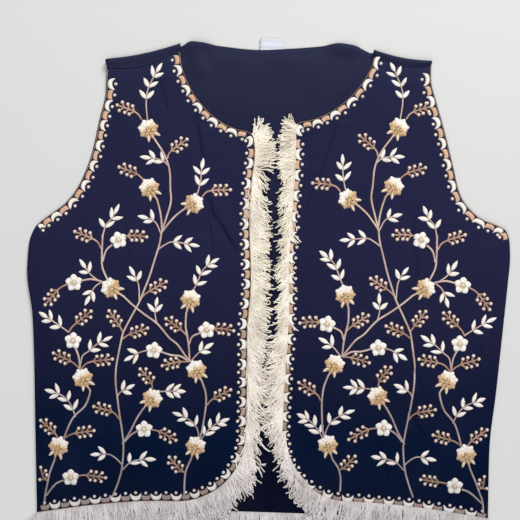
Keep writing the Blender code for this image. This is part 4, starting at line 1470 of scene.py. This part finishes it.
# Brown stitches round each rose's heart, drawn dark partly as painted shade in the folds between the
# inner petals
tick_thread = satin_thread("brown_thread", "#a98556", "#8d6a42", "#6e4a2c")
for side in FRONTS:
    outer, inner, sepals, middles, ticks, stalks = [], [], [], [], [], []
    for middle, stem in ROSES:
        down = (Vector(stem) - Vector(middle)).normalized()
        heart = Vector(middle) + down * INNER_SHIFT
        first = math.degrees(math.atan2(down.y, down.x))

        def toward_stem(way, down=down):
            return 0.02 + 0.95 * ease(0.55 + 0.75 * way.dot(down))

        def warm(way, down=down):
            return 0.5 + 0.1 * way.dot(down)

        for n, share in enumerate(OUTER_SHARES):
            turn = first + 180.0 / ROSE_OUTER * (n + 1)
            size = (share, 1.0, 1.0)
            outer += rays(side, middle, turn, ROSE_OUTER, OUTER_START, 0.1 * n, size, toward_stem)
        for n, share in enumerate(INNER_SHARES):
            turn = first + 180.0 / ROSE_INNER * n
            inner += rays(side, heart, turn, ROSE_INNER, 0.7, 0.5 + 0.3 * n, (share, share, 1.0), warm)
        # Dark ticks at the heart: brown stitches, and partly painted shade between the inner petals
        ticks += rays(side, heart, first + 25.0, ROSE_INNER, 1.4, 1.7, (1.7, 1.6, 1.2), lambda way: 0.6)
        place = on_front(side, heart)
        middles.append((place.x, place.y, 0.9, 0.0, (0.55, 0.55, 0.9), 0.3))
        stalks.append((stem, Vector(middle) + down * STALK_END))
        for turn, length, width, shade in SEPALS:
            way = turned(down, turn)
            place = on_front(side, Vector(middle) + way * SEPAL_START)
            sepals.append((place.x, place.y, 0.3, heading(side, way), (length, width, 1.0), shade))
    couched("rose_stalks", side, stalks, stem_cord, STEM_WIDTH, STEM_STEP, STEM_LIFT)
    worked("rose_outer_petals", side, outer_petal, gold_thread, outer)
    worked("rose_inner_petals", side, inner_petal, gold_thread, inner)
    worked("rose_sepals", side, sepal, gold_thread, sepals)
    worked("rose_middles", side, gold_knot, gold_thread, middles)
    worked("rose_stitches", side, tick, tick_thread, ticks)

for shape in (
    crescent, block, knot, white_leaf, berry_knot, berry_ring, white_petal, gold_knot, tick, outer_petal,
    inner_petal, sepal,
):
    bpy.data.objects.remove(shape)


# Fringe ------------------------------------------------------------------------------------------
# Strands of soft cream two-ply cotton yarn, caught in the front edges and the hems. They lie as
# they fell, in locks that lean together, and their cut ends curl.

YARN_BEND = 3.4
LOCK_LENGTH = 20.0
LOCK_SWING = 15.0
LOCK_REACH = 0.3  # how much longer or shorter the strands of a lock are
LOOSE_HEIGHT = 1.6  # between the lowest and the highest strands
SHORTEST = 0.74  # a strand's length against the longest there
STEEPEST = {"opening": 82.0, "hem": 96.0}
HEM_SPREAD = 8.0
LEAN_START = 150.0  # how far from the middle the strands of a front's hem start to lean out
LEAN_EASE = 75.0
NECK_FOOT = 3.0  # how far below the neckline the fringe of an opening ends
BACK_ROOT = 0.8 * CLOTH
BACK_STEPS = 40
STRAND_PLACES = 9
STRAND_SETTLE = 0.45  # the share of a strand over which it comes down
WAVE_SCALE = 130.0
WAVE_LEVEL = (1.0, 1.0, 0.06)  # strands wave sideways more than up and down
WAVE_APART = 40.0  # so that no two strands wave alike

FRINGES = {
    # how high the ends lie, how far in from the edge the roots are at the hem and above it, the
    # degrees that a strand strays, its width, how many there are in a millimetre, and how far its
    # end waves
    "opening_left": (2.4, -0.4, -0.4, 19.0, 1.2, 4.2, 11.0),
    "opening_right": (1.6, 1.8, 1.8, 21.0, 1.2, 3.6, 11.0),
    "hem_left": (1.8, 0.0, 0.0, 11.0, 1.4, 2.9, 17.0),
    "hem_right": (1.8, 2.0, 5.4, 12.0, 1.4, 3.0, 17.0),
    "hem_back": (1.0, 0.8, 0.8, 10.0, 1.3, 3.0, 15.0),
}
CORNER_START = 16.0
CORNER_EASE = 16.0
BACK_STRANDS = 28.0

# How the strands lie that start at each height of an edge
DROOPS = {
    "opening_left": (
        # height, degrees below level, length, how far the end falls
        (85.0, 82.0, 31.0, 0.0),
        (112.0, 80.0, 29.0, 0.0),
        (128.0, 64.0, 27.0, 0.0),
        (150.0, 50.0, 25.0, 0.0),
        (185.0, 47.0, 24.0, 0.0),
        (240.0, 42.0, 23.0, 0.0),
        (262.0, 10.0, 21.0, 1.0),
        (290.0, 28.0, 20.0, 2.0),
        (305.0, 50.0, 22.0, 2.0),
        (338.0, 70.0, 22.0, 0.0),
        (343.0, 60.0, 20.0, 0.0),
        (347.0, -22.0, 23.0, 0.0),
        (362.0, -34.0, 23.0, 0.0),
        (385.0, -42.0, 17.0, 0.0),
    ),
    "opening_right": (
        (85.0, 64.0, 24.0, 0.0),
        (112.0, 60.0, 27.0, 0.0),
        (130.0, 50.0, 27.0, 0.0),
        (178.0, 48.0, 24.0, 1.0),
        (196.0, 40.0, 16.0, 5.0),
        (270.0, 38.0, 15.0, 5.0),
        (325.0, 32.0, 16.0, 5.0),
        (345.0, 12.0, 17.0, 5.0),
        (355.0, 2.0, 18.0, 5.0),
        (370.0, 8.0, 18.0, 2.0),
        (386.0, 4.0, 16.0, 0.0),
        (394.0, -22.0, 13.0, 0.0),
    ),
    "hem_left": ((11.0, 84.0, 28.0, 0.0), (50.0, 66.0, 29.0, 0.0), (82.0, 82.0, 32.0, 0.0)),
    "hem_right": ((16.0, 88.0, 28.0, 0.0), (45.0, 80.0, 23.0, 0.0), (82.0, 66.0, 22.0, 0.0)),
}


def strand_tree():
    """A limp strand at each point, which gives its direction, length, bend and drop."""
    tree, given = new_tree("loose_strands", Yarn="Material", Width="Float", Wave="Float")
    line = {"Start": (0.0, 0.0, 0.0), "End": (1.0, 0.0, 0.0)}
    line = add(tree, "GeometryNodeCurvePrimitiveLine", line).outputs[0]
    limp = {"Curve": line, "Count": STRAND_PLACES}
    limp = add(tree, "GeometryNodeResampleCurve", limp).outputs[0]
    turn, fall, bend, drop = (
        add(tree, "GeometryNodeInputNamedAttribute", {"Name": name}).outputs[0]
        for name in ("turn", "fall", "bend", "drop")
    )
    turned_by = {"Axis": (0.0, 0.0, 1.0), "Angle": turn}
    turned_by = add(tree, "FunctionNodeAxisAngleToRotation", turned_by).outputs[0]
    long = add(tree, "ShaderNodeCombineXYZ", {"X": fall, "Y": 1.0, "Z": 1.0}).outputs[0]
    real = set_copies(tree, given["Geometry"], limp, Rotation=turned_by, Scale=long)
    share = add(tree, "GeometryNodeSplineParameter").outputs["Factor"]
    squared = add(tree, "ShaderNodeMath", {0: share, 1: 2.0}, operation="POWER").outputs[0]
    aside = add(tree, "ShaderNodeMath", {0: squared, 1: bend}, operation="MULTIPLY").outputs[0]
    across = add(tree, "ShaderNodeCombineXYZ", {"Y": aside}).outputs[0]
    curl = add(tree, "FunctionNodeRotateVector", {"Vector": across, "Rotation": turned_by}).outputs[0]
    settle = {"Value": share, "From Max": STRAND_SETTLE}
    settle = add(tree, "ShaderNodeMapRange", settle, interpolation_type="SMOOTHSTEP").outputs[0]
    sunk = add(tree, "ShaderNodeMath", {0: settle, 1: drop}, operation="MULTIPLY").outputs[0]
    place = add(tree, "GeometryNodeInputPosition").outputs[0]
    seed = add(tree, "ShaderNodeCombineXYZ", {"Z": bend}).outputs[0]
    seed = {0: seed, "Scale": WAVE_APART}
    seed = add(tree, "ShaderNodeVectorMath", seed, operation="SCALE").outputs[0]
    where = add(tree, "ShaderNodeVectorMath", {0: place, 1: seed}).outputs[0]
    field = {"Vector": where, "Scale": WAVE_SCALE, "Detail": 1.5}
    field = add(tree, "ShaderNodeTexNoise", field).outputs[1]
    level = {0: field, 1: (0.5, 0.5, 0.5)}
    level = add(tree, "ShaderNodeVectorMath", level, operation="SUBTRACT").outputs[0]
    level = {0: level, 1: WAVE_LEVEL}
    level = add(tree, "ShaderNodeVectorMath", level, operation="MULTIPLY").outputs[0]
    most = add(tree, "ShaderNodeMath", {0: share, 1: given["Wave"]}, operation="MULTIPLY").outputs[0]
    wave = add(tree, "ShaderNodeVectorMath", {0: level, "Scale": most}, operation="SCALE").outputs[0]
    down = add(tree, "ShaderNodeCombineXYZ", {"Z": sunk}).outputs[0]
    moved = add(tree, "ShaderNodeVectorMath", {0: curl, 1: wave}).outputs[0]
    moved = add(tree, "ShaderNodeVectorMath", {0: moved, 1: down}).outputs[0]
    laid = add(tree, "GeometryNodeSetPosition", {0: real, "Offset": moved}).outputs[0]
    return end_tree(tree, tubes(tree, laid, 4, 0.5, given["Width"]), given["Yarn"])


def strands(name, path, root_height, lay):
    """The loose strands of one fringe, along a path with the cloth on its left.

    lay gives a strand's direction in degrees from its root and how far it strays, its greatest
    length, and how far its end bends to its left.
    """
    end_height, hem_in, corner_in, stray, width, per_mm, wave = FRINGES[name]
    chance = random.Random(name)
    path = stepped(path, PATH_STEP)
    count = round((len(path) - 1) * PATH_STEP * per_mm)
    places, turns, falls, bends, drops, shades = [], [], [], [], [], []
    for k in range(count):
        at = (k + chance.uniform(-0.5, 0.5)) / count * (len(path) - 1)
        n = min(max(int(at), 0), len(path) - 2)
        way = (path[n + 1] - path[n]).normalized()
        place = path[n].lerp(path[n + 1], at - n)
        root_in = hem_in + (corner_in - hem_in) * ease((place.y - CORNER_START) / CORNER_EASE)
        place -= Vector((way.y, -way.x)) * root_in
        low = root_height(place.x, place.y)
        high = chance.random()
        lock = noise.noise_vector(Vector((at / LOCK_LENGTH * 2, len(path), high * 0.6)))
        turn, length, bend = lay(place, 2 * LOCK_SWING * lock.x + chance.gauss(0.0, stray))
        places.append(spot(place.x, place.y, low))
        turns.append(math.radians(turn))
        falls.append(length * chance.uniform(SHORTEST, 1.0) * (1.0 + LOCK_REACH * lock.y) * MM)
        bends.append((bend + chance.gauss(0.0, YARN_BEND)) * MM)
        drops.append((end_height + high * LOOSE_HEIGHT - low) * MM)
        # Strands that lie lower get a lower shade and are drawn darker: painted shade among the strands;
        # the rest is random
        shades.append(0.6 * high + 0.4 * chance.random())
    base = points_mesh(places, turn=turns, fall=falls, bend=bends, drop=drops, shade=shades)
    piece = grown("yarn_" + name, limp_strands, base, Yarn=cream_yarn, Width=width * MM, Wave=wave * MM)
    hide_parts("fringe_" + name)
    return piece


def cotton_yarn(name, bright, dim):
    """Soft cream cotton, matt and a little hairy. Tones vary at random, and low strands get painted
    shade.
    """
    made, tree, shader = blank(name, Roughness=0.85, Specular_IOR_Level=0.1, Sheen_Weight=0.1)
    shade = add(tree, "ShaderNodeAttribute", attribute_name="shade").outputs["Fac"]
    place = add(tree, "ShaderNodeTexCoord").outputs["Object"]
    patchy = add(tree, "ShaderNodeTexNoise", {"Vector": place, "Scale": 60.0, "Detail": 4.0}).outputs[0]
    share = {0: shade, 1: 0.6, 2: patchy}
    share = add(tree, "ShaderNodeMath", share, operation="MULTIPLY_ADD").outputs[0]
    tone = add(tree, "ShaderNodeMapRange", {"Value": share, "From Min": 0.35, "From Max": 1.1}).outputs[0]
    mixed = add(tree, "ShaderNodeMix", {0: tone, 6: colour(dim), 7: colour(bright)}, data_type="RGBA")
    # Darker toward the hem as the tones say: painted shade
    paint_height_shade(tree, shader, mixed.outputs[2], YARN_PAINTED_SHADE)
    return made


# Painted shade for the yarn: what is left of its colour at each height, darker toward the hem
YARN_PAINTED_SHADE = ((5, "#d6d9ea"), (26, "#e2e3f2"), (50, "#f0f1fd"), (110, "#f9f9ff"), (230, "#ffffff"))
YARN_SEED = 7
noise.seed_set(YARN_SEED)  # left unset, noise_vector starts from the clock
limp_strands = strand_tree()
# The dim colour is the random dark tone and the painted shade of the lowest strands
cream_yarn = cotton_yarn("cream_cotton_yarn", "#f5eddd", "#ad9f8d")
for side in FRONTS:
    lay = FRONTS[side]
    corner_top = lay["corner_height"] + HEM_CORNER_RADIUS
    neck_foot = lay["edge"][-1][0] - NECK_FOOT
    whole = stepped(opening_edge(side), PATH_STEP)
    lower = [place for place in whole if place.y < corner_top]
    upper = [place for place in whole if place.y >= corner_top and place.y < neck_foot]
    runs = {"opening": upper, "hem": hem_edge(side)[:-1] + lower}
    for run, path in runs.items():
        name = "%s_%s" % (run, side)
        path = [mirrored(side, place) for place in path]
        if side == "right":
            path = path[::-1]

        def lay_on_front(place, stray, run=run, name=name, sign=lay["sign"]):
            droop, length, fall = (
                through([(row[0], row[column]) for row in DROOPS[name]], place.y) for column in (1, 2, 3)
            )
            lean = HEM_SPREAD * ease((abs(place.x) - LEAN_START) / LEAN_EASE)
            turn = -90.0 - sign * (90.0 - min(droop + stray, STEEPEST[run])) + sign * lean
            return turn, length, sign * fall

        def root_height(x, height, side=side):
            return front_underside(side, x, height) + CLOTH + THREAD_RISE / 2

        strands(name, path, root_height, lay_on_front)

left_side, right_side = (FRONTS[side]["sign"] * side_x(side, FRONTS[side]["side_hem"]) for side in FRONTS)
back_hem = [left_side + (right_side - left_side) * k / BACK_STEPS for k in range(BACK_STEPS + 1)]
strands(
    "hem_back",
    [Vector((x, back_hem_height(x))) for x in back_hem],
    lambda x, height: BACK_ROOT,
    lambda place, stray: (-90.0 + HEM_SPREAD * place.x / right_side + stray, BACK_STRANDS, 0.0),
)


for side in FRONTS:
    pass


# Label -------------------------------------------------------------------------------------------
# A small bare label of white woven tape. Its end is caught in the edge of the back neck.

LABEL_CENTRE = -5.5
LABEL_WIDTH = 23.0
LABEL_WALL = 0.6
LABEL_SECTIONS = ((-3.0, 0.2), (0.5, 0.2), (4.0, 0.7), (7.0, 0.5), (11.0, 0.9))
LABEL_ROWS = 20
LABEL_COLUMNS = 16
RIB_PITCH = 0.5


def label_mesh():
    """The tape, with a small wave along its free end."""
    places, faces = [], []
    start, end = LABEL_SECTIONS[0][0], LABEL_SECTIONS[-1][0]
    for j in range(LABEL_ROWS + 1):
        past = start + (end - start) * j / LABEL_ROWS
        for i in range(LABEL_COLUMNS + 1):
            share = i / LABEL_COLUMNS
            x = LABEL_CENTRE + LABEL_WIDTH * (share - 0.5)
            wave = 0.4 * max(past, 0.0) / end * math.sin(2 * math.pi * share + 0.6)
            z = through(LABEL_SECTIONS, past) + LABEL_WALL / 2 + max(wave, 0.0)
            places.append(spot(x, through(BACK_NECK, LABEL_CENTRE) + past, z))
    wide = LABEL_COLUMNS + 1
    for j in range(LABEL_ROWS):
        for i in range(LABEL_COLUMNS):
            k = j * wide + i
            faces.append((k, k + 1, k + wide + 1, k + wide))
    mesh = bpy.data.meshes.new("label_tape")
    mesh.from_pydata(places, [], faces)
    return mesh


def woven_tape(name, tint):
    """White polyester satin tape, with ribs across it.

    The ribs are 0.2 mm apart, too fine to show, so they are drawn 0.5 mm apart.
    """
    made, tree, shader = blank(name, Roughness=0.5, Specular_IOR_Level=0.35)
    shader.inputs["Base Color"].default_value = colour(tint)
    place = add(tree, "ShaderNodeTexCoord").outputs["Object"]
    height = add(tree, "ShaderNodeSeparateXYZ", {0: place}).outputs["Y"]
    turns = {0: height, 1: 2 * math.pi / (RIB_PITCH * MM)}
    turns = add(tree, "ShaderNodeMath", turns, operation="MULTIPLY").outputs[0]
    rib = add(tree, "ShaderNodeMath", {0: turns}, operation="SINE").outputs[0]
    emboss(tree, shader, rib, 0.3, 0.0001)
    return made


label = cloth("label_tape", label_mesh(), woven_tape("white_woven_tape", "#ced2db"), LABEL_WALL, 0.0)
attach(label, "root")
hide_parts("label")


# Table, light and camera -------------------------------------------------------------------------
# The vest lies on a pale table, under a wide window light from past its neck and a soft fill. The
# camera looks straight down on it.

TABLE_WIDTH = 6.0
TABLE_TOP = -0.0004  # just under the cloth, so that the two never share a plane
bpy.ops.mesh.primitive_plane_add(size=TABLE_WIDTH, location=(0.0, 0.0, TABLE_TOP))
floor = bpy.context.object
floor.name = "table"
pale, tree, shader = blank("pale_table", Roughness=0.9, Specular_IOR_Level=0.2)
shader.inputs["Base Color"].default_value = colour("#cfcfce")
floor.data.materials.append(pale)


def soft_light(name, place, width, watts, tint):
    """A square soft light that faces the middle of the vest."""
    lamp = bpy.data.lights.new(name, "AREA")
    lamp.size = width
    lamp.energy = watts
    lamp.color = tint
    holder = in_scene(name, lamp)
    holder.location = place
    holder.rotation_euler = (-Vector(place)).to_track_quat("-Z", "Y").to_euler()


soft_light("window", (0.7, 1.9, 1.3), 1.0, 60.0, (1.0, 0.985, 0.965))
soft_light("fill", (-0.3, -1.0, 1.7), 1.6, 21.0, (0.95, 0.97, 1.0))
world = bpy.data.worlds.new("studio")
world.use_nodes = True
world.node_tree.nodes["Background"].inputs["Color"].default_value = (0.95, 0.97, 1.0, 1.0)
world.node_tree.nodes["Background"].inputs["Strength"].default_value = 0.28
bpy.context.scene.world = world
bpy.context.scene.view_settings.view_transform = "Standard"

CAMERA_LENS = 50.0
CAMERA_SENSOR = 36.0
VIEW_WIDTH = 0.520
VIEW_LEVEL = 0.004  # the height at which the view is as wide as that
VIEW_CENTRE = (-0.010, 0.0348)
VIEW_LEAN = math.atan(0.0333)
lens = bpy.data.cameras.new("camera")
lens.lens = CAMERA_LENS
lens.sensor_width = CAMERA_SENSOR
camera = in_scene("camera", lens)
camera.location = (*VIEW_CENTRE, VIEW_WIDTH * CAMERA_LENS / CAMERA_SENSOR + VIEW_LEVEL)
camera.rotation_euler = (0.0, 0.0, VIEW_LEAN)
bpy.context.scene.camera = camera
